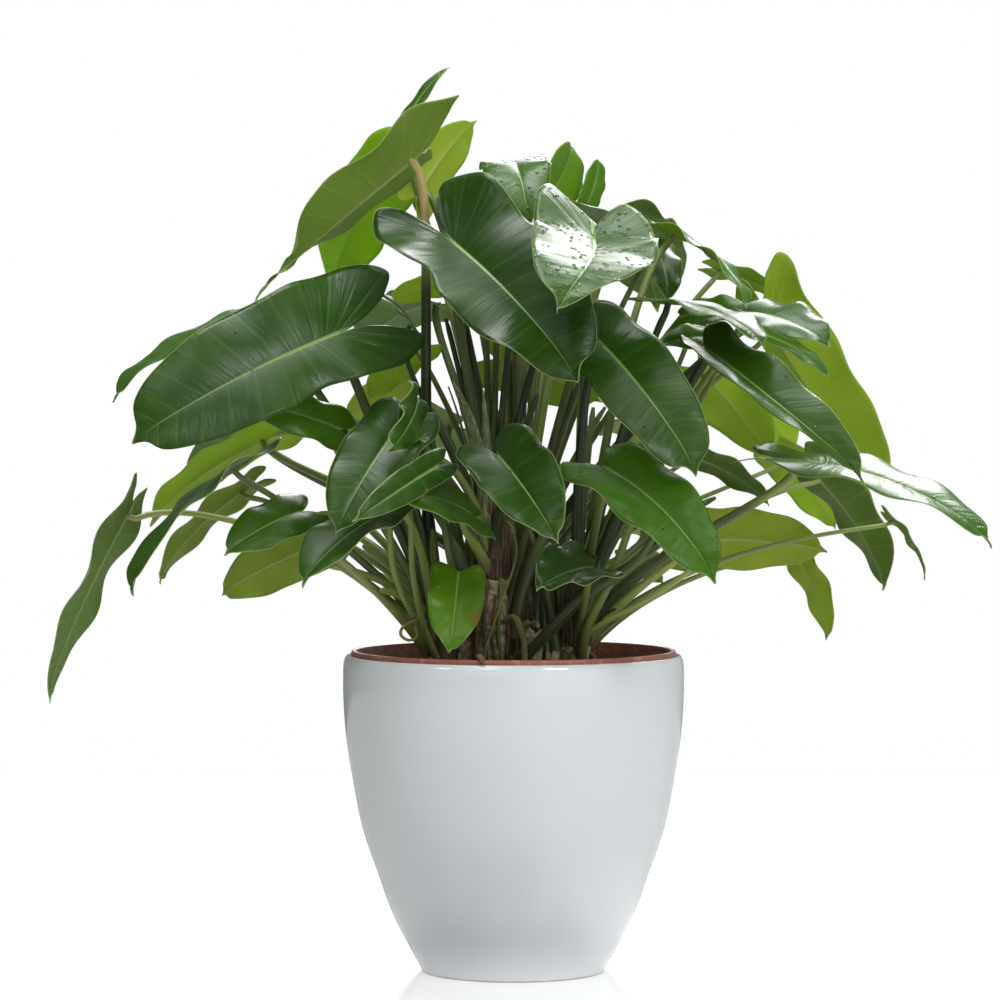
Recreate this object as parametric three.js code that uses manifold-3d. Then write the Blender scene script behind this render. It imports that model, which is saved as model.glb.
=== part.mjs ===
// A philodendron with long heart-shaped leaves, growing in a brown nursery pot that stands inside a
// white glazed pot. Millimetres, +Z up. The origin is the centre of the glazed pot's foot, on the
// surface that it stands on, and the front of the plant faces -Y.
import * as THREE from 'three';
import { mergeVertices } from 'three/addons/utils/BufferGeometryUtils.js';
import Module from 'manifold-3d';

const wasm = await Module();
wasm.setup();

// Driving dimensions.
const clearance = 0.35; // left between two pieces that touch
const potHeight = 236;
const potWall = 5.5;
const potFloor = 9;
const nurseryRimRadius = 121;
const nurseryRimHeight = 239.5; // stands a little above the glazed rim
const nurseryFootHeight = 58; // where its foot wedges in the glazed pot
const nurseryWall = 1.8;
const soilHeight = 214;
const trunkRadius = 12;
const trunkDepth = 34; // how far a trunk reaches into the soil
const bladeThickness = 0.8;
const largeLeaf = 110; // a blade longer than this has two points between midrib and edge

// Outside of the glazed pot, as radius and height: a narrow foot, a full shoulder, an upright rim.
const potOutside = new THREE.SplineCurve(
  [
    [68.5, 2.5],
    [79, 20],
    [91.5, 45],
    [102.5, 76],
    [112.5, 105],
    [119, 136],
    [125, 177],
    [127, 212],
    [127, potHeight - 4],
  ].map(([radius, height]) => new THREE.Vector2(radius, height)),
);

const glaze = new THREE.MeshStandardMaterial({ color: '#e9eef0', roughness: 0.08, metalness: 0 });
const brownPlastic = new THREE.MeshStandardMaterial({ color: '#7a4030', roughness: 0.55, metalness: 0 });
const pottingSoil = new THREE.MeshStandardMaterial({ color: '#35261c', roughness: 0.95, metalness: 0 });
const bark = new THREE.MeshStandardMaterial({ color: '#5b4635', roughness: 0.9, metalness: 0 });
const stalkGreen = new THREE.MeshStandardMaterial({ color: '#56682f', roughness: 0.5, metalness: 0 });
const leafGreen = new THREE.MeshStandardMaterial({ color: '#2f5f22', roughness: 0.3, metalness: 0 });

// Each stem is a short trunk with a crown of stalks. `base` is where it stands on the soil, in x and
// y, `crown` is the height at which its stalks begin, and `roots` is its number of aerial roots.
const stems = {
  left: { base: [-54, 2], crown: 238, roots: 0 },
  centre: { base: [-16, -24], crown: 296, roots: 4 },
  right: { base: [46, -8], crown: 246, roots: 0 },
  back: { base: [4, 44], crown: 262, roots: 0 },
};

// The leaves. `at` is where the stalk meets the blade and `tip` the end of the blade, and `face` is
// the way that the upper side looks. Shape values that a row leaves out come from `ordinaryLeaf`.
const ordinaryLeaf = {
  half: 0.28, // widest half width, in blade lengths
  lobe: 1, // length of the two lobes behind the stalk
  lift: 0, // slope at which the lobes stand up from the blade
  arch: 0.07, // rise of the midrib, in blade lengths
  sweep: 0, // sideways bow of the midrib, in blade lengths
  fold: 0.22, // slope of each half beside the midrib
  cup: 0.2, // how much each half turns down again at its edge
  wave: 0.022, // height of the waves along the edge, in blade lengths
  waves: 2.3, // number of waves from stalk to tip
  hook: 0.04, // how far the drip tip turns under, in blade lengths
  bend: [0, 0, 0], // sideways push on the middle of the stalk
  joined: false, // joined to its stem's stalks in one piece
};

const leaves = [
  // large leaves in front
  ['left_large', 'left', [-128, -60, 475], [-273, -120, 398], [0.1, -1, 0.45], {}],
  [
    'centre_large', 'centre', [-46, -52, 543], [46, -142, 444], [0.07, -0.82, 0.52],
    { half: 0.31, lobe: 1.15, fold: 0.55, lift: 0.3 },
  ],
  [
    'right_front', 'right', [62, -100, 468], [130, -160, 376], [0.15, -1, 0.35],
    { half: 0.26, fold: 0.5 },
  ],
  [
    'right_low_front', 'right', [67, -115, 377], [142, -185, 301], [0.2, -1, 0.5],
    { half: 0.27, lobe: 0.8, fold: 0.45, sweep: 0.03 },
  ],
  [
    'centre_mid', 'centre', [-11, -110, 386], [31, -175, 328], [0.1, -1, 0.3],
    { half: 0.3, fold: 0.35 },
  ],
  ['front_young', 'centre', [-40, -80, 300], [-46, -118, 246], [0.1, -1, 0.25], { half: 0.31 }],
  // top
  [
    'top_glossy', 'right', [58, -92, 543], [32, -222, 499], [0.17, -0.3, 1],
    { half: 0.33, lift: 0.75, sweep: 0.06 },
  ],
  [
    'top_mid', 'back', [-1, 60, 605], [12, -35, 557], [0, -0.4, 1],
    { half: 0.23, arch: 0.22, lift: 0.8 },
  ],
  [
    'top_upright', 'back', [24, 115, 578], [46, 155, 625], [0.7, -0.6, 0.1],
    { half: 0.32, fold: 0.45 },
  ],
  [
    'upper_left', 'left', [-76, -5, 604], [-202, 30, 497], [-0.65, 0.55, 0.55],
    { half: 0.2, fold: 0.5, lobe: 1.3, arch: 0.01, bend: [3, 10, 0] },
  ],
  ['upper_left_back', 'back', [-100, 98, 595], [-143, 158, 509], [-0.3, -0.8, 0.5], { half: 0.34 }],
  ['top_left_bright', 'back', [-71, 58, 584], [-30, 88, 639], [-0.5, 0.8, 0.1], { half: 0.27 }],
  [
    'top_left_tip', 'back', [-87, 35, 625], [-49, 45, 678], [-0.8, -0.3, 0.4],
    { half: 0.14, joined: true },
  ],
  ['back_high', 'back', [78, 80, 566], [115, 200, 500], [0.1, 0.4, 1], {}],
  // left side
  ['left_edge', 'left', [-189, -20, 491], [-296, -50, 428], [-0.3, -0.15, 1], {}],
  [
    'left_inner', 'centre', [-76, 5, 482], [-108, -24, 507], [0, -0.5, 0.8],
    { joined: true, bend: [0, -5, 0] },
  ],
  ['left_inner_bright', 'back', [-56, 60, 513], [-95, 60, 500], [0, 0.8, 0.6], { joined: true }],
  ['left_backlit', 'back', [-73, 70, 464], [-112, 90, 427], [-0.3, 0.9, 0.4], {}],
  ['left_pale_back', 'back', [-80, 120, 427], [-132, 170, 414], [0, 1, 0.3], {}],
  ['left_under_large', 'left', [-132, -30, 406], [-200, -60, 424], [0, -1, 0.5], { half: 0.24 }],
  ['left_mid_dark', 'centre', [-84, -80, 406], [-127, -135, 333], [-0.2, -1, 0.2], {}],
  ['left_mid_folded', 'centre', [-70, -70, 425], [-89, -125, 389], [0.7, -0.3, 0.6], { half: 0.2 }],
  [
    'left_mid_drip', 'centre', [-56, -105, 378], [-112, -165, 342], [0.1, -1, 0.15],
    { half: 0.14, bend: [5, 2, 30] },
  ],
  ['centre_left_low', 'centre', [-32, -72, 344], [-92, -124, 360], [0, -0.7, 0.7], { half: 0.3 }],
  [
    'left_low_narrow', 'left', [-81, -60, 349], [-152, -130, 296], [0.1, -0.1, 1],
    { half: 0.26, fold: 0.4 },
  ],
  [
    'left_low_cordate', 'left', [-157, -50, 344], [-208, -100, 316], [0.1, -0.8, 0.6],
    { half: 0.26 },
  ],
  ['left_low_pale', 'left', [-145, -10, 319], [-217, -35, 283], [-0.1, 0.9, 0.4], { lift: 0.35 }],
  [
    'left_out_pale', 'left', [-207, 48, 356], [-269, 33, 289], [-0.3, 0.5, 0.8],
    { half: 0.2, bend: [0, 20, 10] },
  ],
  [
    'left_out_folded', 'left', [-206, -50, 375], [-278, -110, 289], [-0.75, -0.2, 0.6],
    { half: 0.3 },
  ],
  ['left_out_bright', 'back', [-191, 60, 395], [-279, 75, 332], [-0.4, 0.6, 0.7], { half: 0.2 }],
  ['left_far_grey', 'back', [-194, 110, 401], [-256, 150, 371], [-0.2, 0.7, 0.7], { half: 0.22 }],
  [
    'left_hanging', 'left', [-289, -10, 340], [-346, -50, 205], [-0.95, 0.25, 0.3],
    { half: 0.2, lobe: 0.7, arch: 0.02, fold: 0.15, bend: [0, 35, 20] },
  ],
  // right side
  [
    'right_top_edge', 'right', [122, 30, 550], [173, -50, 496], [0.45, 0.12, 0.85],
    { lobe: 0.7, bend: [0, -30, 0] },
  ],
  ['right_top_small', 'back', [108, 80, 544], [116, 30, 501], [0.3, -0.8, 0.3], { joined: true }],
  ['right_back_narrow', 'back', [158, 80, 525], [208, 80, 500], [0.2, 0.4, 0.9], { joined: true }],
  [
    'right_large', 'back', [193, 60, 489], [285, 60, 361], [0.6, 0.6, 0.45],
    { half: 0.26, lobe: 0.8, fold: 0.5, sweep: 0.09, arch: 0.02 },
  ],
  ['right_glossy_tip', 'right', [169, -20, 491], [229, -85, 467], [0.1, -0.6, 0.8], { bend: [-2, 4, 5] }],
  ['right_drip', 'back', [189, 20, 474], [236, 10, 443], [0.2, -0.3, 0.9], { joined: true }],
  ['right_waved', 'right', [114, -40, 498], [181, -110, 467], [0.2, -0.15, 1], {}],
  [
    'right_dark_back', 'right', [132, 45, 490], [176, 15, 492], [0, -0.8, 0.6],
    { joined: true, bend: [0, -20, 0] },
  ],
  ['right_grey', 'right', [157, 0, 472], [107, -20, 467], [0.1, -0.6, 0.8], { joined: true }],
  [
    'right_long', 'right', [142, -60, 462], [251, -150, 371], [0.3, -0.3, 1],
    { fold: 0.4, sweep: -0.06, lobe: 0.7 },
  ],
  ['right_backlit', 'back', [146, 95, 445], [200, 140, 382], [0.2, 0.95, 0.3], {}],
  [
    'right_backlit_far', 'back', [178, 150, 441], [221, 200, 382], [0.2, 0.95, 0.3],
    { bend: [0, 50, -10] },
  ],
  ['right_low_grey', 'back', [131, 10, 385], [192, 5, 349], [0.1, 0.5, 0.8], { half: 0.24 }],
  ['right_pale', 'right', [133, -5, 322], [234, 10, 314], [0, 0.9, 0.4], { half: 0.26 }],
  [
    'right_hanging', 'right', [232, 45, 365], [280, 15, 284], [0.75, 0.6, 0.35],
    { half: 0.25, fold: 0.5 },
  ],
  [
    'right_hanging_back', 'back', [207, 90, 380], [249, 110, 327], [0.4, 0.9, 0.3],
    { joined: true },
  ],
  ['right_olive', 'right', [214, 40, 308], [237, 20, 246], [0.6, 0.5, 0.5], { joined: true }],
  ['right_far', 'right', [209, -60, 382], [346, -110, 326], [0.1, -0.1, 1], {}],
  [
    'right_far_small', 'right', [284, 0, 335], [306, -20, 293], [0.5, 0.2, 0.6],
    { half: 0.2, joined: true },
  ],
  // low down and behind
  ['low_dark', 'right', [57, -70, 304], [17, -115, 291], [0, -0.6, 0.8], { joined: true }],
  ['low_bright_back', 'back', [83, 70, 304], [115, 80, 286], [0.2, 0.8, 0.5], { joined: true }],
  ['centre_back', 'back', [-10, 110, 456], [68, 150, 425], [0, 1, 0.3], {}],
  ['back_left', 'back', [-60, 130, 500], [-120, 240, 470], [-0.2, 0.7, 0.7], {}],
  ['back_mid_left', 'back', [-50, 160, 405], [-140, 250, 380], [-0.2, 0.8, 0.6], {}],
  ['back_mid_right', 'back', [90, 130, 410], [150, 220, 375], [0.2, 0.8, 0.6], {}],
  ['back_centre', 'back', [10, 140, 520], [40, 250, 470], [0, 0.7, 0.7], { bend: [0, -30, 0] }],
  ['back_low', 'back', [10, 120, 370], [0, 230, 310], [0, 0.8, 0.6], {}],
  ['back_low_right', 'back', [100, 100, 330], [170, 190, 300], [0.3, 0.8, 0.6], {}],
].map(([name, stem, at, tip, face, shape], index) => ({
  ...ordinaryLeaf,
  ...shape,
  name,
  stem,
  at: new THREE.Vector3(...at),
  tip: new THREE.Vector3(...tip),
  face: new THREE.Vector3(...face),
  phase: 1.7 * index,
}));

// A closed geometry from a list of points and a list of triangles.
function closedGeometry(points, triangles) {
  const geometry = new THREE.BufferGeometry().setFromPoints(points);
  geometry.setIndex(triangles.flat());
  geometry.computeVertexNormals();
  return geometry;
}

// A solid from a closed three.js geometry.
function solidFrom(geometry) {
  const bare = geometry.clone();
  bare.deleteAttribute('normal');
  bare.deleteAttribute('uv');
  const merged = mergeVertices(bare, 1e-3);
  return new wasm.Manifold(
    new wasm.Mesh({
      numProp: 3,
      vertProperties: new Float32Array(merged.attributes.position.array),
      triVerts: new Uint32Array(merged.index.array),
    }),
  );
}

function geometryOf(solid) {
  const { numProp, numVert, vertProperties, triVerts } = solid.getMesh();
  const position = new Float32Array(numVert * 3);
  for (let i = 0; i < numVert; i++) {
    position.set(vertProperties.subarray(i * numProp, i * numProp + 3), i * 3);
  }
  const geometry = new THREE.BufferGeometry();
  geometry.setAttribute('position', new THREE.BufferAttribute(position, 3));
  geometry.setIndex(new THREE.BufferAttribute(new Uint32Array(triVerts), 1));
  geometry.computeVertexNormals();
  return geometry;
}

const plant = new THREE.Group();

function addPiece(name, geometry, material) {
  const mesh = new THREE.Mesh(geometry, material);
  mesh.name = name;
  plant.add(mesh);
}

// A turned piece: its profile is radius and height, and its axis is Z.
function turned(profile, segments) {
  const points = profile.map(([radius, height]) => new THREE.Vector2(radius, height));
  return new THREE.LatheGeometry(points, segments).rotateX(Math.PI / 2);
}

// Glazed pot
const potSegments = 38;
const potSteps = 7;
const outside = potOutside.getSpacedPoints(potSteps).map((p) => [p.x, p.y]);
const inside = outside
  .filter(([, height]) => height > 3 * potFloor)
  .map(([radius, height]) => [radius - potWall, height])
  .reverse();
addPiece(
  'glazed_pot',
  turned(
    [
      [0, 0],
      [66.5, 0],
      ...outside,
      [125.6, potHeight],
      [123, potHeight],
      ...inside,
      [64, potFloor],
      [0, potFloor],
    ],
    potSegments,
  ),
  glaze,
);

// Inside radius of the glazed pot at a height, read off its profile.
function potInsideRadius(height) {
  const above = inside.findLastIndex(([, z]) => z >= height);
  const [r1, z1] = inside[above];
  const [r0, z0] = inside[above + 1];
  return r0 + ((r1 - r0) * (height - z0)) / (z1 - z0);
}

// Nursery pot: a thin tapered tub with a rolled rim and drain holes, wedged in the glazed pot.
const polygonShortfall = Math.cos(Math.PI / potSegments); // how far a flat side lies inside its circle
const nurseryFootRadius = (potInsideRadius(nurseryFootHeight) - 0.1) * polygonShortfall - clearance;
const nurseryNeckHeight = nurseryRimHeight - 13;
const nurseryNeckRadius = nurseryRimRadius - 3.5;
const drainHoles = 4;
const drainRadius = 6;
const drainCircle = 58; // radius on which the drain holes lie

function nurseryInsideRadius(height) {
  const share = (height - nurseryFootHeight) / (nurseryNeckHeight - nurseryFootHeight);
  return nurseryFootRadius + (nurseryNeckRadius - nurseryFootRadius) * share - nurseryWall;
}

let nurseryPot = solidFrom(
  turned(
    [
      [0, nurseryFootHeight],
      [nurseryFootRadius, nurseryFootHeight],
      [nurseryNeckRadius, nurseryNeckHeight],
      [nurseryRimRadius, nurseryNeckHeight],
      [nurseryRimRadius, nurseryRimHeight - 1],
      [nurseryRimRadius - 1, nurseryRimHeight],
      [nurseryRimRadius - 3, nurseryRimHeight],
      [nurseryRimRadius - 4, nurseryRimHeight - 1.5],
      [nurseryInsideRadius(nurseryNeckHeight), nurseryNeckHeight - 4],
      [nurseryInsideRadius(nurseryFootHeight + nurseryWall), nurseryFootHeight + nurseryWall],
      [0, nurseryFootHeight + nurseryWall],
    ],
    potSegments,
  ),
);
for (let i = 0; i < drainHoles; i++) {
  const angle = (2 * Math.PI * i) / drainHoles;
  const drill = new THREE.CylinderGeometry(drainRadius, drainRadius, 12, 8)
    .rotateX(Math.PI / 2)
    .translate(drainCircle * Math.cos(angle), drainCircle * Math.sin(angle), nurseryFootHeight);
  nurseryPot = nurseryPot.subtract(solidFrom(drill));
}
addPiece('nursery_pot', geometryOf(nurseryPot), brownPlastic);

// A tube with a few sides through a list of points, with a radius at each, closed at both ends.
function tube(path, radii, sides) {
  const points = [];
  const triangles = [];
  let across = new THREE.Vector3(1, 0, 0);
  path.forEach((centre, i) => {
    const along = path[Math.min(i + 1, path.length - 1)].clone().sub(path[Math.max(i - 1, 0)]).normalize();
    if (i === 0 && Math.abs(along.x) > 0.9) across.set(0, 1, 0);
    across = across.addScaledVector(along, -across.dot(along)).normalize();
    const second = along.clone().cross(across);
    for (let k = 0; k < sides; k++) {
      const angle = (2 * Math.PI * k) / sides;
      points.push(
        centre
          .clone()
          .addScaledVector(across, radii[i] * Math.cos(angle))
          .addScaledVector(second, radii[i] * Math.sin(angle)),
      );
    }
  });
  const last = (path.length - 1) * sides;
  for (let i = 0; i < last; i += sides) {
    for (let k = 0; k < sides; k++) {
      const next = (k + 1) % sides;
      triangles.push([i + k, i + next, i + sides + next], [i + k, i + sides + next, i + sides + k]);
    }
  }
  for (let k = 1; k < sides - 1; k++) {
    triangles.push([0, k + 1, k], [last, last + k, last + k + 1]);
  }
  return closedGeometry(points, triangles);
}

// Trunk: a knobbly old stem ringed with leaf scars, with a few aerial roots that reach the soil.
const scarSpacing = 9;
const trunkSides = 8;
const stalkSides = 5; // of the roots and stalks

function trunk(stem, extra) {
  const [x, y] = stem.base;
  const low = soilHeight - trunkDepth;
  const neck = stem.crown - 2;
  const rings = Math.round((neck - low) / scarSpacing);
  const path = [];
  const radii = [];
  for (let i = 0; i <= rings; i++) {
    const sway = 1.5 * Math.sin((Math.PI * i) / rings) * Math.sin(0.9 * i);
    const height = i === 0 ? low - extra : low + ((neck - low) * i) / rings;
    path.push(new THREE.Vector3(x + sway, y + sway, height));
    radii.push(trunkRadius * (i % 2 ? 1.08 : 0.92) + extra);
  }
  path.push(new THREE.Vector3(x, y, stem.crown));
  radii.push(radii.at(-1));
  let solid = solidFrom(tube(path, radii, trunkSides));
  for (let i = 0; i < stem.roots; i++) {
    const angle = (2 * Math.PI * i) / stem.roots - 1.3;
    const root = [
      [0.5, 22],
      [1.35, 15],
      [1.55, 2],
      [1.75, -10 - extra],
    ].map(
      ([out, rise]) =>
        new THREE.Vector3(
          x + trunkRadius * out * Math.cos(angle + 0.012 * rise),
          y + trunkRadius * out * Math.sin(angle + 0.012 * rise),
          soilHeight + rise,
        ),
    );
    const rootRadii = [2, 1.8, 1.7, 1.4].map((radius) => radius + extra);
    solid = solid.add(solidFrom(tube(root, rootRadii, stalkSides)));
  }
  return solid;
}

// Soil: fills the nursery pot, a little uneven on top, with a plain hole round each trunk and root.
const soilSegments = 24;
const soilRings = [0, 30, 60, 90];
const soilSwell = 2.2; // height of its unevenness
const soilFoot = nurseryFootHeight + nurseryWall + clearance;
const soilEdge = (height) => nurseryInsideRadius(height) * polygonShortfall - clearance;
const soilProfile = [
  [0, soilFoot],
  [soilEdge(soilFoot), soilFoot],
  [soilEdge(soilHeight), soilHeight],
  ...soilRings.toReversed().map((radius) => [radius, soilHeight]),
];
const soilShape = turned(soilProfile, soilSegments);
const soilPoints = soilShape.getAttribute('position');
for (let i = 0; i < soilPoints.count; i++) {
  const [x, y, z] = [soilPoints.getX(i), soilPoints.getY(i), soilPoints.getZ(i)];
  const inFromEdge = Math.min(1, (soilEdge(soilHeight) - Math.hypot(x, y)) / 15);
  if (z > soilHeight - 1) {
    soilPoints.setZ(i, z + soilSwell * inFromEdge * Math.sin(0.07 * x + 1) * Math.cos(0.08 * y));
  }
}
let soil = solidFrom(soilShape);
for (const stem of Object.values(stems)) {
  soil = soil.subtract(trunk(stem, clearance));
}
addPiece('soil', geometryOf(soil), pottingSoil);

for (const [name, stem] of Object.entries(stems)) {
  addPiece(`trunk_${name}`, geometryOf(trunk(stem, 0)), bark);
}

// Half the blade's outline, row by row. `rib` is where the row's vein leaves the midrib and `along`
// where it meets the edge, in blade lengths from the stalk, and `across` is in half widths.
const outline = [
  { rib: 0, along: -0.22, across: 0.3 },
  { rib: 0.01, along: -0.28, across: 0.62 },
  { rib: 0.05, along: -0.15, across: 0.92 },
  { rib: 0.13, along: 0.07, across: 1 },
  { rib: 0.28, along: 0.33, across: 1 },
  { rib: 0.47, along: 0.57, across: 0.9 },
  { rib: 0.66, along: 0.77, across: 0.64 },
  { rib: 0.84, along: 0.91, across: 0.27 },
];

// The blade's own directions: along it, across it and out of its upper side.
function bladeAxes(leaf) {
  const along = leaf.tip.clone().sub(leaf.at);
  const length = along.length();
  along.divideScalar(length);
  const up = leaf.face.clone().addScaledVector(along, -leaf.face.dot(along)).normalize();
  return { length, along, up, across: up.clone().cross(along) };
}

// A point of the blade's middle surface: `along` in blade lengths, `across` in half widths.
function bladePoint(leaf, axes, along, across) {
  const side = Math.abs(across);
  const bow = 4 * along * (1 - along);
  const rise =
    leaf.arch * bow +
    leaf.lift * Math.max(0, -along) -
    leaf.hook * Math.max(0, (along - 0.8) / 0.2) ** 2 +
    leaf.half * (leaf.fold * side - leaf.cup * side ** 2) +
    leaf.wave *
      side ** 2 *
      Math.sin(2 * Math.PI * leaf.waves * along + leaf.phase + (across > 0 ? 1.4 : 0));
  return leaf.at
    .clone()
    .addScaledVector(axes.along, axes.length * along)
    .addScaledVector(axes.across, axes.length * (leaf.half * across + leaf.sweep * bow))
    .addScaledVector(axes.up, axes.length * rise);
}

const ribDepth = (axes, along) => (0.6 + 0.012 * axes.length) * (1 - along);

// Blade: a thin solid with the same triangles on both faces, thicker along the midrib.
function blade(leaf) {
  const axes = bladeAxes(leaf);
  const steps = axes.length > largeLeaf ? 2 : 1; // points between midrib and edge
  const middle = [];
  const ribs = [];
  const put = (along, across, rib) => {
    middle.push(bladePoint(leaf, axes, along, across));
    ribs.push(rib);
    return middle.length - 1;
  };
  const tip = put(1, 0, 0);
  const spine = outline.map((row) => put(row.rib, 0, ribDepth(axes, row.rib)));
  const faces = [];
  const edges = [];
  for (const side of [1, -1]) {
    const rows = outline.map((row, i) => {
      const line = [spine[i]];
      for (let k = 1; k <= steps; k++) {
        const share = k / steps;
        const lengthwise = row.along * (row.along < 0 ? leaf.lobe : 1);
        line.push(put(row.rib + (lengthwise - row.rib) * share, side * row.across * share, 0));
      }
      return line;
    });
    const add = (a, b, c) => faces.push(side > 0 ? [a, b, c] : [a, c, b]);
    rows.slice(1).forEach((line, i) => {
      for (let k = 0; k < steps; k++) {
        add(rows[i][k], line[k], line[k + 1]);
        add(rows[i][k], line[k + 1], rows[i][k + 1]);
      }
    });
    for (let k = 0; k < steps; k++) add(rows.at(-1)[k], tip, rows.at(-1)[k + 1]);
    const border = [...rows[0], ...rows.slice(1).map((line) => line[steps]), tip];
    border.slice(1).forEach((end, i) => {
      edges.push(side > 0 ? [end, border[i]] : [border[i], end]);
    });
  }
  const normals = middle.map(() => new THREE.Vector3());
  for (const [a, b, c] of faces) {
    const normal = middle[b].clone().sub(middle[a]).cross(middle[c].clone().sub(middle[a]));
    for (const corner of [a, b, c]) normals[corner].add(normal);
  }
  normals.forEach((normal) => normal.normalize());
  const count = middle.length;
  const points = [
    ...middle.map((p, i) => p.clone().addScaledVector(normals[i], bladeThickness / 2)),
    ...middle.map((p, i) =>
      p.clone().addScaledVector(normals[i], -bladeThickness / 2).addScaledVector(axes.up, -ribs[i]),
    ),
  ];
  const triangles = [];
  for (const [a, b, c] of faces) triangles.push([a, b, c], [a + count, c + count, b + count]);
  for (const [a, b] of edges) triangles.push([a, a + count, b + count], [a, b + count, b]);
  return closedGeometry(points, triangles);
}

// Stalk: leaves the crown upwards, arches over to its leaf, and comes up to it from below.
const stalkSteps = 6;
const neckLength = 5; // straight end of the stalk, under the leaf
const crownHeight = 46;
const crownRadius = 11;

function stalk(leaf) {
  const axes = bladeAxes(leaf);
  const stem = stems[leaf.stem];
  const thin = 1.1 + 0.009 * axes.length;
  const thick = 1.5 * thin;
  const foot = new THREE.Vector3(
    ...stem.base,
    stem.crown + crownHeight * THREE.MathUtils.clamp((leaf.at.z - 300) / 260, 0.2, 0.8),
  );
  const arrive = axes.up.clone().addScaledVector(axes.along, 0.3).normalize();
  const standoff = leaf.joined ? 0 : ribDepth(axes, 0) + bladeThickness / 2 + 2 * clearance;
  const end = leaf.at.clone().addScaledVector(axes.up, -standoff);
  const neck = end.clone().addScaledVector(axes.up, -neckLength);
  const reach = neck.clone().sub(foot);
  const leave = reach.clone().normalize().add(new THREE.Vector3(0, 0, 0.7)).normalize();
  const span = reach.length();
  const bend = new THREE.Vector3(...leaf.bend);
  const curve = new THREE.CubicBezierCurve3(
    foot,
    foot.clone().addScaledVector(leave, 0.35 * span).add(bend),
    neck.clone().addScaledVector(arrive, -Math.min(0.2 * span, 35)).add(bend),
    neck,
  );
  const path = [...curve.getSpacedPoints(stalkSteps - 1), end];
  const radii = path.map((_, i) => {
    const share = i / stalkSteps;
    return thick + (thin - thick) * share + 1.6 * Math.max(0, 1 - 5 * share);
  });
  return tube(path, radii, stalkSides);
}

for (const leaf of leaves.filter((one) => !one.joined)) {
  addPiece(`leaf_${leaf.name}`, blade(leaf), leafGreen);
}

// Stalks of one stem: they sheathe a common crown, which sits on the trunk.
for (const [name, stem] of Object.entries(stems)) {
  const crown = turned(
    [
      [0, stem.crown + clearance],
      [crownRadius, stem.crown + clearance],
      [crownRadius + 1.5, stem.crown + 0.4 * crownHeight],
      [0.5 * crownRadius, stem.crown + crownHeight],
      [0, stem.crown + crownHeight],
    ],
    8,
  ).translate(...stem.base, 0);
  let stalks = solidFrom(crown);
  for (const leaf of leaves.filter((one) => one.stem === name)) {
    stalks = stalks.add(solidFrom(stalk(leaf)));
    if (leaf.joined) stalks = stalks.add(solidFrom(blade(leaf)));
  }
  addPiece(`stalks_${name}`, geometryOf(stalks), stalkGreen);
}

export default plant;
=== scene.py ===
# A philodendron with long heart-shaped leaves. It grows in a brown nursery pot that stands inside a
# white glazed pot. Metres, +Z up: the origin is the centre of the glazed pot's foot, and the front of
# the plant faces -Y.
from functools import partial
from math import cos, exp, pi, sin
from types import SimpleNamespace

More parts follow.
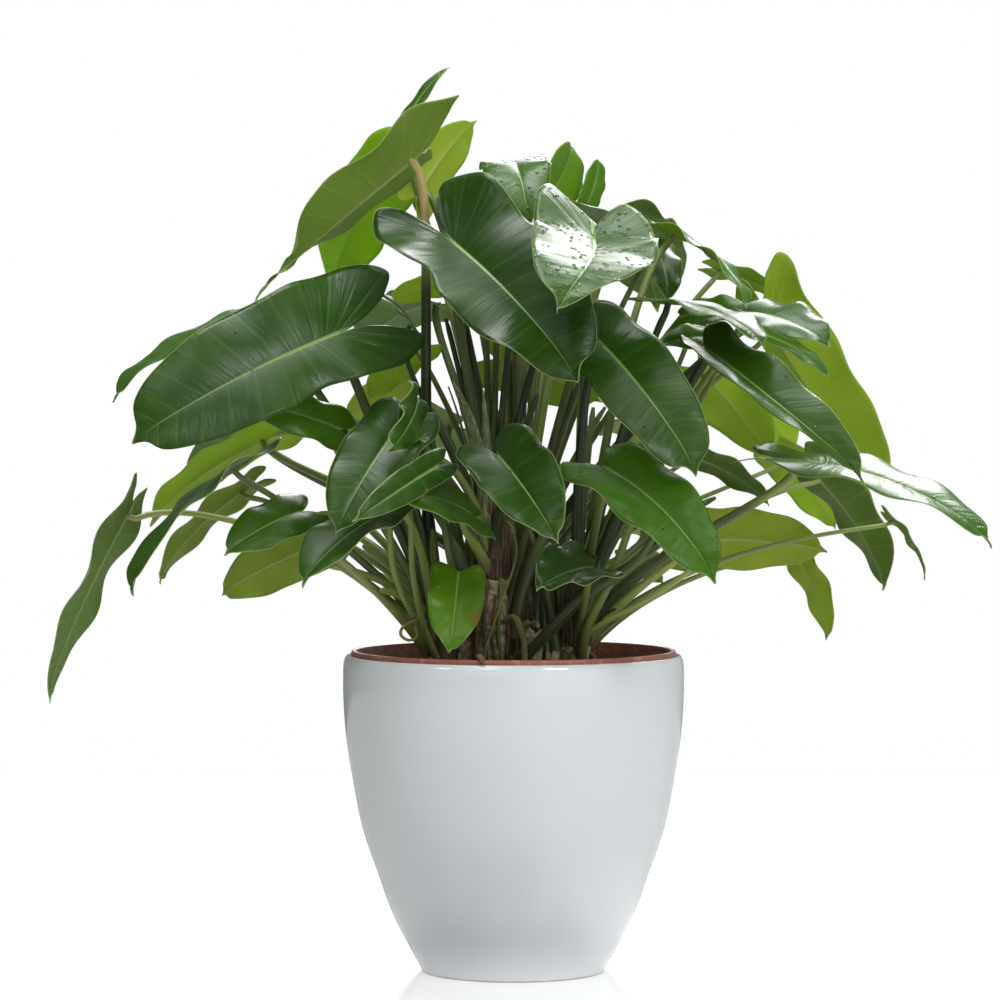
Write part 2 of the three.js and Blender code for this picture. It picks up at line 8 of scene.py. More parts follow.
import bpy
import numpy as np
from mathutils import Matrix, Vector


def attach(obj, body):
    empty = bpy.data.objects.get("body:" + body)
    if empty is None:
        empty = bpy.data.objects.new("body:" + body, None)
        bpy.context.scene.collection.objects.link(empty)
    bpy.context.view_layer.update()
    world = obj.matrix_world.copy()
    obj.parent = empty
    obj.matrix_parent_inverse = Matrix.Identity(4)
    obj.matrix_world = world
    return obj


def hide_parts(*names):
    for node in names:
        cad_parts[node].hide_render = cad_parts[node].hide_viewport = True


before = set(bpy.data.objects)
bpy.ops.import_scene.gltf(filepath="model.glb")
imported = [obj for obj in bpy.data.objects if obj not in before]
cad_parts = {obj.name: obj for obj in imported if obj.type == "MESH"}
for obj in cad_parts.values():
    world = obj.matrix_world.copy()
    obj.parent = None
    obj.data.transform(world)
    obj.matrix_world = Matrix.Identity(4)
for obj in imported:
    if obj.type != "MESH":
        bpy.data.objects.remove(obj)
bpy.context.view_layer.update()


# Studio
# A glossy white sheet under the pot, and white all round as far as the camera sees. To every other ray the
# room is dimmer, with a soft window behind and above the plant and a light area in front. The sheet also
# glows: evenly to the camera, and to every other ray in painted patches of light that light the pot's foot
# and sides and show in its glaze.
class Wire:
    """A socket of a node tree. Arithmetic on wires adds Math nodes to their tree."""

    def __init__(self, tree, socket=None):
        self.tree = tree
        self.socket = socket

    def node(self, kind, settings=None, sockets=None, out=0):
        """Adds a node, gives it its settings and then the values or wires of its sockets."""
        made = self.tree.nodes.new(kind)
        for name, value in (settings or {}).items():
            setattr(made, name, value)
        for name, value in (sockets or {}).items():
            if isinstance(value, Wire):
                self.tree.links.new(value.socket, made.inputs[name])
            else:
                made.inputs[name].default_value = value
        return Wire(self.tree, made.outputs[out])

    def maths(self, operation, *values):
        return self.node("ShaderNodeMath", {"operation": operation}, dict(enumerate(values)))

    def operator(operation, swapped=False):
        def applied(self, other):
            return self.maths(operation, *((other, self) if swapped else (self, other)))
        return applied

    __add__, __radd__ = operator("ADD"), operator("ADD", True)
    __sub__, __rsub__ = operator("SUBTRACT"), operator("SUBTRACT", True)
    __mul__, __rmul__ = operator("MULTIPLY"), operator("MULTIPLY", True)
    __truediv__, __rtruediv__ = operator("DIVIDE"), operator("DIVIDE", True)

    def vectors(self, operation, first, second, out="Vector"):
        return self.node("ShaderNodeVectorMath", {"operation": operation}, {0: first, 1: second}, out)

    def far(self, place, point=(0, 0, 0)):
        """How far a place is from a point."""
        return self.vectors("DISTANCE", place, point, "Value")

    def axis(self, vector, name):
        return self.node("ShaderNodeSeparateXYZ", sockets={"Vector": vector}, out=name)

    def ramp(self, low, high):
        """0 up to low, 1 from high on, and a smooth step between them."""
        return self.node("ShaderNodeMapRange", {"interpolation_type": "SMOOTHSTEP"},
                         {"Value": self, "From Min": low, "From Max": high})

    def mix(self, first, second):
        """The first colour where this wire is 0 and the second where it is 1."""
        first, second = (one if isinstance(one, Wire) else (*one, 1) for one in (first, second))
        return self.node("ShaderNodeMix", {"data_type": "RGBA"}, {0: self, 6: first, 7: second}, out=2)

    def camera_ray(self):
        return self.node("ShaderNodeLightPath", out="Is Camera Ray")

    def place(self):
        return self.node("ShaderNodeTexCoord", out="Object")

    def noise(self, scale, detail=2.0, vector=None):
        return self.node("ShaderNodeTexNoise", sockets={
            "Vector": vector or self.place(), "Scale": scale, "Detail": detail})

    def named(self, name, out="Fac"):
        return self.node("ShaderNodeAttribute", {"attribute_name": name}, out=out)

    def into(self, name, node="Principled BSDF"):
        self.tree.links.new(self.socket, self.tree.nodes[node].inputs[name])

    def bump(self, height, depth):
        """Raises the surface by depth metres where the height is 1."""
        self.node("ShaderNodeBump", sockets={"Height": height, "Distance": depth}).into("Normal")


def finish(name, **constants):
    """A new node material and a wire on its tree. The constants go to its Principled shader."""
    material = bpy.data.materials.new(name)
    material.use_nodes = True
    shader = material.node_tree.nodes["Principled BSDF"]
    for socket, value in constants.items():
        shader.inputs[socket.replace("_", " ")].default_value = value
    return material, Wire(material.node_tree)


def grey(level):
    return (level, level, level)


def placed(name, data):
    made = bpy.data.objects.new(name, data)
    bpy.context.collection.objects.link(made)
    return made


def facing(direction):
    """The turn that makes a camera or a light look in a direction."""
    return direction.to_track_quat("-Z", "Y").to_euler()


MM = 0.001


def mesh_of(name, points, faces, edges=()):
    mesh = bpy.data.meshes.new(name)
    mesh.from_pydata((np.asarray(points) * MM).tolist(), edges, faces)
    return mesh


camera_distance = 3.1
camera_height = 0.437
camera_data = bpy.data.cameras.new("camera")
camera_data.sensor_width = 36
camera_data.lens = 149.8
camera = placed("camera", camera_data)
camera.location = (0, -camera_distance, camera_height)
camera.rotation_euler = facing(Vector((-0.003244, 1, -0.027638)))
bpy.context.scene.camera = camera
bpy.context.scene.view_settings.view_transform = "Standard"

world = bpy.data.worlds.new("studio")
bpy.context.scene.world = world
world.use_nodes = True
air = Wire(world.node_tree)
heading = air.node("ShaderNodeTexCoord", out="Generated")
room = air.axis(heading, "X").ramp(-0.9, 0.9).mix((0.09, 0.095, 0.1), (0.38, 0.4, 0.41))
in_front = 1 - air.far(heading, (0.5, -0.85, 0.12)).ramp(0.2, 0.8)
room = in_front.mix(room, (1.35, 1.36, 1.37))
room = air.axis(heading, "Z").ramp(0.82, 0.97).mix(room, grey(2.8))
from_window = air.node("ShaderNodeMapping", {"vector_type": "TEXTURE"}, {
    "Vector": heading, "Location": (0.2, 0.8, 0.57), "Rotation": (0, -0.9, 0), "Scale": (1.8, 1, 0.55)})
window = 1 - air.far(from_window).ramp(0.08, 0.36)
room = window.mix(room, grey(18))
air.camera_ray().mix(room, grey(1)).into("Color", "Background")

sheet, wire = finish("white_sheet", Roughness=0.25, Emission_Strength=1.0)
wire.noise(40).mix(grey(0.44), grey(0.46)).into("Base Color")
# Painted light: to every ray but the camera's, the sheet glows in patches. There is a disc round the pot's
# foot and a patch to each side of it, and the right one is brighter. To the camera it glows evenly.
to_right = wire.axis(wire.place(), "X")
sideways = to_right.ramp(-0.13, 0.13).mix(grey(0.3), grey(0.55))
painted_floor_glow = to_right.maths("ABSOLUTE", to_right).ramp(0.06, 0.13).mix(grey(0), sideways)
away = wire.far(wire.place())
painted_floor_glow = away.ramp(0.14, 0.34).mix(painted_floor_glow, grey(0))
painted_floor_glow = away.ramp(0.08, 0.11).mix(grey(0.45), painted_floor_glow)
wire.camera_ray().mix(painted_floor_glow, grey(0.5)).into("Emission Color")
floor_mesh = mesh_of("floor", [(-3000, -3000, 0), (3000, -3000, 0), (3000, 1600, 0), (-3000, 1600, 0)],
                     [(0, 1, 2, 3)])
floor_mesh.materials.append(sheet)
floor = placed("floor", floor_mesh)


def softbox(name, place, target, size, watts):
    data = bpy.data.lights.new(name, "AREA")
    data.shape = "RECTANGLE"
    data.size, data.size_y = size
    data.energy = watts
    light = placed(name, data)
    light.location = place
    light.rotation_euler = facing(Vector(target) - Vector(place))


softbox("top_light", (-0.3, 0.3, 2.4), (0, 0, 0.4), (1.2, 0.9), 20)
softbox("left_light", (-2.0, -1.6, 1.9), (0, 0, 0.35), (0.5, 0.35), 5)
softbox("front_light", (-0.75, -2.2, 2.4), (0, 0, 0.4), (0.6, 0.4), 8)
softbox("right_light", (1.4, -2.2, 2.2), (0, 0, 0.4), (0.8, 0.6), 22)


# Glazed pot
# One slip-cast stoneware pot with a narrow foot and a full shoulder, dipped in white glaze. The
# glaze stops just above the bare foot that it stands on.
def catmull(points, t):
    """A point of the smooth curve through points, where t runs from 0 at the first to 1 at the last."""
    points = np.asarray(points, float)
    last = len(points) - 1
    i = min(int(t * last), last - 1)
    w = t * last - i
    p0, p1, p2, p3 = (points[min(max(k, 0), last)] for k in (i - 1, i, i + 1, i + 2))
    v0, v1 = (p2 - p0) / 2, (p3 - p1) / 2
    return (2 * p1 - 2 * p2 + v0 + v1) * w**3 + (-3 * p1 + 3 * p2 - 2 * v0 - v1) * w**2 + v0 * w + p1


def bezier(corners, t):
    """The curve from the first corner to the last that bends towards those between them."""
    while len(corners) > 1:
        corners = [(1 - t) * a + t * b for a, b in zip(corners, corners[1:])]
    return corners[0]


def shares(count):
    """Evenly spaced from 0 to 1."""
    return np.linspace(0, 1, count)


def unit(vector):
    return vector / np.linalg.norm(vector)


def rounded(corners, radius, steps=5):
    """The outline with each corner that has a radius rounded by a short curve."""
    corners = np.array(corners, float)
    made = []
    for i, corner in enumerate(corners):
        if radius[i] == 0:
            made.append(corner)
            continue
        start, end = (corner + radius[i] * unit(corners[j] - corner) for j in (i - 1, i + 1))
        made += [bezier([start, corner, end], t) for t in shares(steps)]
    return made


def turns_of(sides):
    return 2 * pi * np.arange(sides) / sides


def ring_at(x, y, z, radius, turns):
    """A ring of points round an upright axis."""
    ring = np.broadcast_arrays(x + radius * np.cos(turns), y + radius * np.sin(turns), z)
    return np.stack(ring, axis=1)


def closed_rings(first, rings, last):
    """Points and faces of a closed solid: the point at one end, the rings from there, the other end."""
    sides = len(rings[0])
    points = [first, *(point for ring in rings for point in ring), last]
    pairs = [(k, (k + 1) % sides) for k in range(sides)]
    top = len(points) - 1 - sides
    faces = [(0, 1 + n, 1 + k) for k, n in pairs]
    faces += [(i + k, i + n, i + n + sides, i + k + sides) for i in range(1, top, sides) for k, n in pairs]
    faces += [(top + k, top + n, top + sides) for k, n in pairs]
    return points, faces


def lathe(profile, sides):
    """Points and faces of a turned solid. Its profile is radius and height, from axis to axis."""
    rings = [ring_at(0, 0, z, radius, turns_of(sides)) for radius, z in profile[1:-1]]
    return closed_rings((0, 0, profile[0][1]), rings, (0, 0, profile[-1][1]))


def declare(piece, nodes):
    """Says what the piece rides on and hides the nodes that it stands for."""
    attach(piece, "root")
    if nodes:
        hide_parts(*nodes)


def add_piece(name, points, faces, material, slot, *nodes):
    """A piece from points in millimetres, in place of the nodes."""
    mesh = mesh_of(name, points, faces)
    mesh.materials.append(material)
    mesh.shade_smooth()
    declare(placed(name, mesh), nodes)
    return mesh


pot_height = 236
pot_wall = 5.5
pot_floor = 9
pot_outside = [(69, 1.8), (79, 20), (91.5, 45), (102.5, 76), (112.5, 105), (119, 136), (125, 177),
               (127, 206), (127, pot_height - 13)]
outside = [catmull(pot_outside, t) for t in shares(48)]
inside = [(r - pot_wall, z) for r, z in outside[::-1] if z > 3 * pot_floor]
rim_roll = [(127, -12), (126.9, -8), (126.4, -4.5), (125.5, -1.8), (124.3, -0.3), (123.2, 0),
            (122.2, -0.6), (121.6, -2.5), (121.5, -6)]
rim = [catmull(rim_roll, t) + (0, pot_height) for t in shares(25)]
foot = rounded([(0, 0), (68.2, 0), (69, 1.8)], [0, 0.8, 0])
glaze, wire = finish("white_glaze", Roughness=0.05, IOR=1.5, Coat_Weight=0.3, Coat_Roughness=0.02)
glazed = (wire.axis(wire.place(), "Z") + 0.0012 * wire.noise(90)).ramp(0.0012, 0.002)
body_colour = wire.noise(9, 3).mix((0.78, 0.82, 0.835), (0.81, 0.845, 0.86))
glazed.mix((0.5, 0.4, 0.3), body_colour).into("Base Color")
(0.8 - 0.75 * glazed).into("Roughness")
wire.bump(wire.noise(220, 1) * 0.3 + wire.noise(22, 1), 0.00012)
profile = [*foot, *outside[1:-1], *rim, *inside[2:], (63, pot_floor), (0, pot_floor)]
add_piece("glazed_pot_body", *lathe(profile, 160), glaze, "glaze", "glazed_pot")


# Nursery pot
# A thin injection-moulded pot of brown plastic with a rolled rim. Its floor is drawn closed, without drain
# holes. It is wedged in the glazed pot, and its rim shows just above the white one.
rim_height, rim_radius = 239.5, 121
neck_height, neck_radius = rim_height - 13, rim_radius - 3.5
foot_height, foot_radius = 58, 89.7
plastic_wall = 1.8
floor_height = foot_height + plastic_wall


def nursery_inside(z):
    """The radius of the inner wall at a height."""
    share = (z - foot_height) / (neck_height - foot_height)
    return foot_radius + (neck_radius - foot_radius) * share - plastic_wall


plastic, wire = finish("brown_plastic", IOR=1.49)
dusty = (wire.axis(wire.place(), "Z") + 0.012 * wire.noise(30, 4)).ramp(0.226, 0.24)
worn = wire.noise(160, 3).ramp(0.45, 0.75)
clean = worn.mix((0.35, 0.125, 0.085), (0.47, 0.23, 0.17))
dusty.mix((0.12, 0.045, 0.028), clean).into("Base Color")
(0.62 - 0.22 * dusty + 0.12 * worn).into("Roughness")
wire.bump(wire.noise(420), 0.00015)
heel = rounded([(0, foot_height), (foot_radius, foot_height), (neck_radius, neck_height)], [0, 3, 0])
rim = rounded([(neck_radius, neck_height), (rim_radius, neck_height), (rim_radius, rim_height),
               (rim_radius - 4, rim_height), (nursery_inside(neck_height), neck_height - 4)],
              [0, 0.8, 1.4, 1.4, 0])
profile = [*heel[:-1], *rim, (nursery_inside(floor_height), floor_height), (0, floor_height)]
add_piece("nursery_pot_body", *lathe(profile, 128), plastic, "brown_plastic", "nursery_pot")


# Potting soil
# A loose mix of bark chips, peat and a little perlite that fills the nursery pot to just under its
# rim. It is heaped a little against the stems.
soil_height = 214
soil_foot = floor_height + 0.35
soil_radius = nursery_inside(soil_height) - 1.2
trunk_bases = {"left": (-54, 2), "centre": (-16, -24), "right": (46, -8), "back": (4, 44)}
rng = np.random.default_rng(7)


def soil_top(x, y):
    swell = 2.2 * np.sin(0.07 * x + 1) * np.cos(0.08 * y)
    edge = np.clip((soil_radius - np.hypot(x, y)) / 15, 0, 1)
    heap = sum(3.0 * np.exp(-((x - bx) ** 2 + (y - by) ** 2) / 480) for bx, by in trunk_bases.values())
    return soil_height + edge * (swell + heap - 1.2)


soil_rings, soil_spokes = 60, 150
rings = []
for i in range(1, soil_rings + 1):
    turns = turns_of(soil_spokes) + pi * (i % 2) / soil_spokes
    ring = ring_at(0, 0, 0.0, soil_radius * i / soil_rings, turns)
    lumps = rng.normal(0, 0.55, soil_spokes) * min(1, (soil_rings - i) / 3)
    ring[:, 2] = soil_top(ring[:, 0], ring[:, 1]) + lumps
    rings.append(ring)
narrowed = (nursery_inside(soil_foot) - 0.6) / soil_radius
rings.append(rings[-1] * (narrowed, narrowed, 0) + (0, 0, soil_foot))
points, faces = closed_rings((0, 0, soil_top(0, 0)), rings, (0, 0, soil_foot))
faces = [(first, *others[::-1]) for first, *others in faces]  # the rings run down, so it is turned out
soil_mix, wire = finish("potting_mix", Specular_IOR_Level=0.25)
crumbs = wire.noise(260, 6)
crumbs.ramp(0.35, 0.7).mix((0.01, 0.006, 0.004), (0.06, 0.034, 0.019)).into("Base Color")
(0.98 - 0.15 * crumbs).into("Roughness")
wire.bump(crumbs, 0.002)
add_piece("soil_fill", points, faces, soil_mix, "potting_soil", "soil")


# Bark chips and perlite on the soil
# Flat shreds of bark lie on the mix at every angle, with a few white grains of perlite.
def start_tree(name, **inputs):
    """A new Geometry Nodes tree: wires for its geometry and for each named input."""
    tree = bpy.data.node_groups.new(name, "GeometryNodeTree")
    for label, kind in {"Geometry": "Geometry", **inputs, "Material": "Material"}.items():
        tree.interface.new_socket(label, in_out="INPUT", socket_type="NodeSocket" + kind)
    tree.interface.new_socket("Geometry", in_out="OUTPUT", socket_type="NodeSocketGeometry")
    start = tree.nodes.new("NodeGroupInput")
    return {socket.name: Wire(tree, socket) for socket in start.outputs if socket.name}


def end_tree(geometry, material):
    """Makes the instances real and gives all of it the material."""
    real = geometry.node("GeometryNodeRealizeInstances", sockets={"Geometry": geometry})
    dressed = real.node("GeometryNodeSetMaterial", sockets={"Geometry": real, "Material": material})
    geometry.tree.nodes.new("NodeGroupOutput")
    dressed.into("Geometry", "Group Output")
    return geometry.tree


def strewn(ports, grain, stretch, turn=None):
    """Ends a tree that strews grains over a surface. They lie flat on it unless they get a turn."""
    ground = ports["Geometry"]
    spots = ground.node("GeometryNodeDistributePointsOnFaces", sockets={
        "Mesh": ground, "Density": ports["Density"], "Seed": ports["Seed"]})
    turn = turn or Wire(ground.tree, spots.socket.node.outputs["Rotation"])
    strewn_grains = ground.node("GeometryNodeInstanceOnPoints", sockets={
        "Points": spots, "Instance": grain, "Rotation": turn, "Scale": stretch})
    return end_tree(strewn_grains, ports["Material"])


def grown(name, source, tree, material, slot, *nodes, **values):
    """The piece that a tree makes from a source mesh, as a plain mesh in place of the nodes."""
    values["Material"] = material
    seed_object = placed(name + "_source", source)
    modifier = seed_object.modifiers.new(name, "NODES")
    modifier.node_group = tree
    for item in tree.interface.items_tree:
        if item.in_out == "INPUT" and item.name in values:
            modifier[item.identifier] = values[item.name]
    mesh = bpy.data.meshes.new_from_object(
        seed_object.evaluated_get(bpy.context.evaluated_depsgraph_get()))
    bpy.data.objects.remove(seed_object)
    declare(placed(name, mesh), nodes)


ports = start_tree("scattered_bits", Density="Float", Length="Float", Seed="Int")
top = ports["Geometry"]
turn = top.node("FunctionNodeRandomValue", {"data_type": "FLOAT_VECTOR"},
                {0: (-0.5, -0.5, 0), 1: (0.5, 0.5, 6.28), "Seed": 3})
stretch = top.node("FunctionNodeRandomValue", {"data_type": "FLOAT_VECTOR"},
                   {0: (0.5, 0.3, 0.2), 1: (1.2, 0.7, 0.5), "Seed": 4})
grain = top.node("GeometryNodeMeshIcoSphere", sockets={"Radius": ports["Length"], "Subdivisions": 1})
scattered_bits = strewn(ports, grain, stretch, turn)
skin_faces = soil_spokes * soil_rings
soil_skin = mesh_of("soil_skin", points[:1 + skin_faces], faces[:skin_faces])
bark_chip, wire = finish("bark_chip")
wire.noise(120, 3).ramp(0.35, 0.65).mix((0.022, 0.011, 0.006), (0.12, 0.06, 0.03)).into("Base Color")
(0.75 + 0.2 * wire.noise(500)).into("Roughness")
wire.bump(wire.noise(900, 3), 0.0006)
perlite, wire = finish("perlite", Roughness=0.9)
wire.noise(600).mix((0.5, 0.48, 0.43), (0.8, 0.78, 0.73)).into("Base Color")
grown("bark_chips", soil_skin, scattered_bits, bark_chip, "potting_soil",
      Density=14000.0, Length=0.0032, Seed=1)
grown("perlite_grains", soil_skin, scattered_bits, perlite, "potting_soil",
      Density=1100.0, Length=0.0016, Seed=2)


# Trunks
# Four short woody stems stand in the soil. Each is ringed with the scars of old leaves.
trunk_radius = 12
trunk_depth = 34
trunk_turns = turns_of(28)
scar_spacing = 9
crowns = {"left": 238, "centre": 296, "right": 246, "back": 262}
old_bark, wire = finish("old_bark")
bands = wire.node("ShaderNodeTexWave", {"bands_direction": "Z"}, {
    "Vector": wire.place(), "Scale": 38.0, "Distortion": 9.0, "Detail": 4.0}, out="Fac")
fibres = wire.noise(900.0, 3.0, wire.vectors("MULTIPLY", wire.place(), (1, 1, 0.12)))
scaly = wire.noise(330, 5)
bark_colour = wire.noise(90, 4).ramp(0.35, 0.65).mix((0.16, 0.125, 0.07), (0.5, 0.4, 0.24))
(0.1 * bands + 0.9 * scaly).ramp(0.44, 0.66).mix(bark_colour, (0.62, 0.55, 0.36)).into("Base Color")
(0.7 + 0.25 * fibres).into("Roughness")
wire.bump(0.2 * bands + 0.35 * fibres + 0.45 * scaly, 0.0016)
for name, (bx, by) in trunk_bases.items():
    low, neck = soil_height - trunk_depth, crowns[name] - 2
    scars = round((neck - low) / scar_spacing)
    rings = []
    for i in np.linspace(0, scars, int((neck - low) / 1.2)):
        sway = 1.5 * sin(pi * i / scars) * sin(0.9 * i)
        girth = 1 - 0.08 * cos(pi * i) - 0.05 * exp(-(((i % 2) - 1) / 0.16) ** 2)
        knobs = 0.5 * np.sin(3 * trunk_turns + 2.1 * i) * sin(1.7 * i)
        knobs += rng.normal(0, 0.13, len(knobs))
        rings.append(ring_at(bx + sway, by + sway, low + (neck - low) * i / scars,
                             trunk_radius * girth + knobs, trunk_turns))
    add_piece("trunk_bark_" + name, *closed_rings((bx, by, low), rings, (bx, by, crowns[name])),
              old_bark, "bark", "trunk_" + name)


# Old stumps
# Between the trunks stand the fibrous stumps of stems that were cut back.
stump_turns = turns_of(16)
for number, (bx, by, width, height) in enumerate([
        (-35, -6, 8, 34), (12, -22, 8.5, 40), (26, 4, 9, 30), (-6, 10, 9, 58), (-32, 24, 8, 36),
        (24, 26, 8, 44), (30, -24, 6, 24)]):
    low = soil_height - 8
    rings = []
    for v in shares(26):
        girth = 1 - 0.22 * v + 0.07 * sin(9 * v + number) + 0.06 * np.sin(4 * stump_turns + number)
        rings.append(ring_at(bx + 3 * v * sin(number), by,
                             low + (height + 8) * v + 3 * v * np.sin(3 * stump_turns + 2 * number),
                             width * girth + rng.normal(0, 0.25, len(girth)), stump_turns))
    head = (bx + 3 * sin(number), by, soil_height + height - 2)
    add_piece(f"stump_{number}", *closed_rings((bx, by, low), rings, head), old_bark, "bark")


# Aerial roots
# Cord-like roots leave the trunks, some of them tan and woody and some still green, and run down
# into the soil. Every root and stalk of the plant is swept along its own path.
ports = start_tree("swept_stalk", Sides="Int")
rails = ports["Geometry"].node("GeometryNodeMeshToCurve", sockets={"Mesh": ports["Geometry"]})
ring = rails.node("GeometryNodeCurvePrimitiveCircle", sockets={"Resolution": ports["Sides"], "Radius": 1.0})
ring = rails.node("GeometryNodeStoreNamedAttribute", {"data_type": "FLOAT_VECTOR", "domain": "POINT"},
                  {"Geometry": ring, "Name": "skin", "Value": rails.node("GeometryNodeInputPosition")})
thickness = rails.node("GeometryNodeInputNamedAttribute", {"data_type": "FLOAT"}, {"Name": "thickness"})
swept = rails.node("GeometryNodeCurveToMesh", sockets={
    "Curve": rails, "Profile Curve": ring, "Scale": thickness, "Fill Caps": True})
swept = swept.node("GeometryNodeSetShadeSmooth", sockets={"Geometry": swept, "Shade Smooth": True})
swept_stalk = end_tree(swept, ports["Material"])


def walked(path):
    """How far along a path each of its points is."""
    return np.concatenate([[0], np.cumsum(np.linalg.norm(np.diff(path, axis=0), axis=1))])


def store(mesh, name, values):
    """Stores a number or a vector for each point of the mesh."""
    kind, field = ("FLOAT_VECTOR", "vector") if np.ndim(values) == 2 else ("FLOAT", "value")
    mesh.attributes.new(name, kind, "POINT").data.foreach_set(field, np.ravel(values).astype(np.float32))


def sweep(name, paths, sides, material, slot, *nodes):
    """One piece of tubes. A path is its points, its radii, both in millimetres, and a tone for each."""
    points, radii, tones = (np.concatenate(parts) for parts in zip(*paths))
    ends = np.cumsum([len(path) for path, _, _ in paths])
    edges = [(i, i + 1) for i in range(len(points) - 1) if i + 1 not in ends]
    rail = mesh_of(name + "_rail", points, [], edges)
    store(rail, "thickness", radii * MM)
    store(rail, "run", np.concatenate([walked(path) for path, _, _ in paths]) * MM)
    store(rail, "tone", tones)
    grown(name, rail, swept_stalk, material, slot, *nodes, Sides=sides)


def lengthwise(wire, around, along):
    """Coordinates that streak along a swept tube: around it and slowly along it."""
    skin = wire.vectors("MULTIPLY", wire.named("skin", "Vector"), grey(around))
    run = wire.node("ShaderNodeCombineXYZ", sockets={"Z": wire.named("run") * along})
    return wire.vectors("ADD", skin, run)


root_skin, wire = finish("root_skin")
streaks = wire.noise(1.0, 4.0, lengthwise(wire, 2, 90))
woody = streaks.ramp(0.35, 0.65).mix((0.045, 0.025, 0.016), (0.2, 0.115, 0.06))
fresh = streaks.ramp(0.35, 0.65).mix((0.1, 0.12, 0.03), (0.28, 0.28, 0.09))
wire.named("tone").mix(woody, fresh).into("Base Color")
(0.55 + 0.3 * streaks).into("Roughness")
wire.bump(streaks, 0.0006)


def root(path, radii, tone, steps=22):
    """A root through a few points, with a radius for each."""
    share = shares(steps)
    points = np.array([catmull(path, t) for t in share])
    points[:, :2] += np.cumsum(rng.normal(0, 0.12, (steps, 2)), axis=0) * np.sin(pi * share)[:, None]
    thick = np.interp(share, shares(len(radii)), radii) * (1 + rng.normal(0, 0.04, steps))
    return points, thick, np.full(steps, tone)


def beside(name, turn, out, z):
    """A point by a trunk: which way from its axis, how many radii out, and its height."""
    bx, by = trunk_bases[name]
    return bx + trunk_radius * out * cos(turn), by + trunk_radius * out * sin(turn), z


paths = []
for i in range(4):
    turn = 2 * pi * i / 4 - 1.3
    path = [beside("centre", turn + 0.012 * rise, out, soil_height + rise)
            for out, rise in [(0.5, 22), (1.35, 15), (1.55, 2), (1.75, -10)]]
    paths.append(root(path, [2, 1.8, 1.7, 1.4], 0.0))
for turn, high, green in [(-1.9, 78, 0), (-1.45, 70, 0), (-1.1, 84, 1), (-2.4, 60, 0), (-0.6, 52, 0)]:
    path = [beside("centre", turn + veer, out, soil_height + rise) for out, veer, rise in [
        (0.8, 0, high), (1.14, 0.05, high - 9), (1.16, -0.1, 0.5 * high), (1.25, 0.15, 12), (1.4, 0.1, -8)]]
    paths.append(root(path, [1.3, 1.5, 1.5, 1.3, 1.1], green))
paths.append(root([(-6, -33, 262), (0, -42, 266), (6, -50, 256), (8, -54, 236), (6, -56, 218),
                   (4, -56, 206)], [2.4, 2.6, 2.4, 2.2, 1.8], 0.7))
paths.append(root([(-9, -34, 336), (-2, -48, 334), (2, -56, 312), (-8, -58, 280), (-20, -54, 244),
                   (-24, -52, 208)], [1.0, 0.9, 0.9, 0.9, 0.8], 1.0))
sweep("aerial_roots_centre", paths, 10, root_skin, "bark", "trunk_centre")
fallen = root([(-26, -110, 241.5), (-24, -117, 242), (-22.5, -122, 240), (-22, -124.5, 237.5)],
              [1.6, 2.5, 2.2, 1.2], 0.0, 12)
sweep("fallen_root_end", [fallen], 10, root_skin, "bark")
for name, turns in {"left": (-1.2, -2.6), "right": (-1.8, -0.4), "back": (-1.5, 2.0)}.items():
    crown = crowns[name]
    course = [(0.7, crown - 6), (1.25, crown - 11), (1.4, soil_height + 0.3 * (crown - soil_height)),
              (1.7, soil_height - 8)]
    paths = [root([beside(name, turn, *step) for step in course], [1.6, 1.7, 1.5, 1.2], 0.0)
             for turn in turns]
    sweep("aerial_roots_" + name, paths, 10, root_skin, "bark", "trunk_" + name)


# Leaves
# Leathery heart-shaped blades, each with a sunken midrib, side veins that bend towards the margin
# and a drawn-out drip tip. The upper face is glossy and the lower one pale and dull.
leaves = []
ordinary = {"half": 0.28, "lobe": 1, "lift": 0, "arch": 0.07, "sweep": 0, "fold": 0.22, "cup": 0.2,
            "bend": (0, 0, 0), "joined": False, "alone": False, "blunt": 0.5, "lobes": (1, 1), "tan": 0,
            "sinus": (0.07, 0.07), "frill": 0.012, "ribbon": 1, "widths": (1, 1), "waist": (0.06, 0.06),
            "slim": 1, "pinch": (0, 0)}


def leaf(stem, name, at, tip, face, tone, **shape):
    """One leaf: where its stalk joins, its tip, the way its upper side faces, and its shape. Tone is 0 for a
    dark old leaf and 1 for a young pale one. Its bright end is also painted backlight: light shining through
    the blade, painted into its colour."""
    at, tip, face = np.array(at, float), np.array(tip, float), np.array(face, float)
    along = unit(tip - at)
    up = unit(face - face.dot(along) * along)
    leaves.append(SimpleNamespace(**{**ordinary, **shape}, name=name, stem=stem, tone=tone, at=at, up=up,
                                  along=along, across=np.cross(up, along), length=np.linalg.norm(tip - at)))


left, centre, right, back = (partial(leaf, stem) for stem in trunk_bases)  # each adds a leaf to its stem

# large leaves in front
left("left_large", (-128, -60, 475), (-273, -120, 398), (0.1, -1, 0.45), 0.12, blunt=1.3, frill=0.008,
     widths=(0.86, 1), lobes=(1.25, 1.35), waist=(0.16, 0.05), pinch=(-0.05, -0.1))
centre("centre_large", (-46, -52, 543), (46, -142, 444), (0.07, -0.82, 0.52), 0.05, half=0.31, lobe=1.15,
       fold=0.43, cup=0.08, lift=0.3, blunt=1.5, frill=0.032, waist=(0.06, 0.22))
right("right_front", (62, -100, 468), (130, -160, 376), (0.24, -1, 0.36), 0.15, half=0.26,
      cup=0.1, blunt=1.4, frill=0.018, waist=(0.05, 0.14))
right("right_low_front", (67, -115, 377), (142, -185, 301), (0.2, -1, 0.5), 0.42, half=0.245, lobe=0.65,
      fold=0.45, sweep=0.03, blunt=1.0, widths=(0.86, 1), lobes=(0.75, 1))
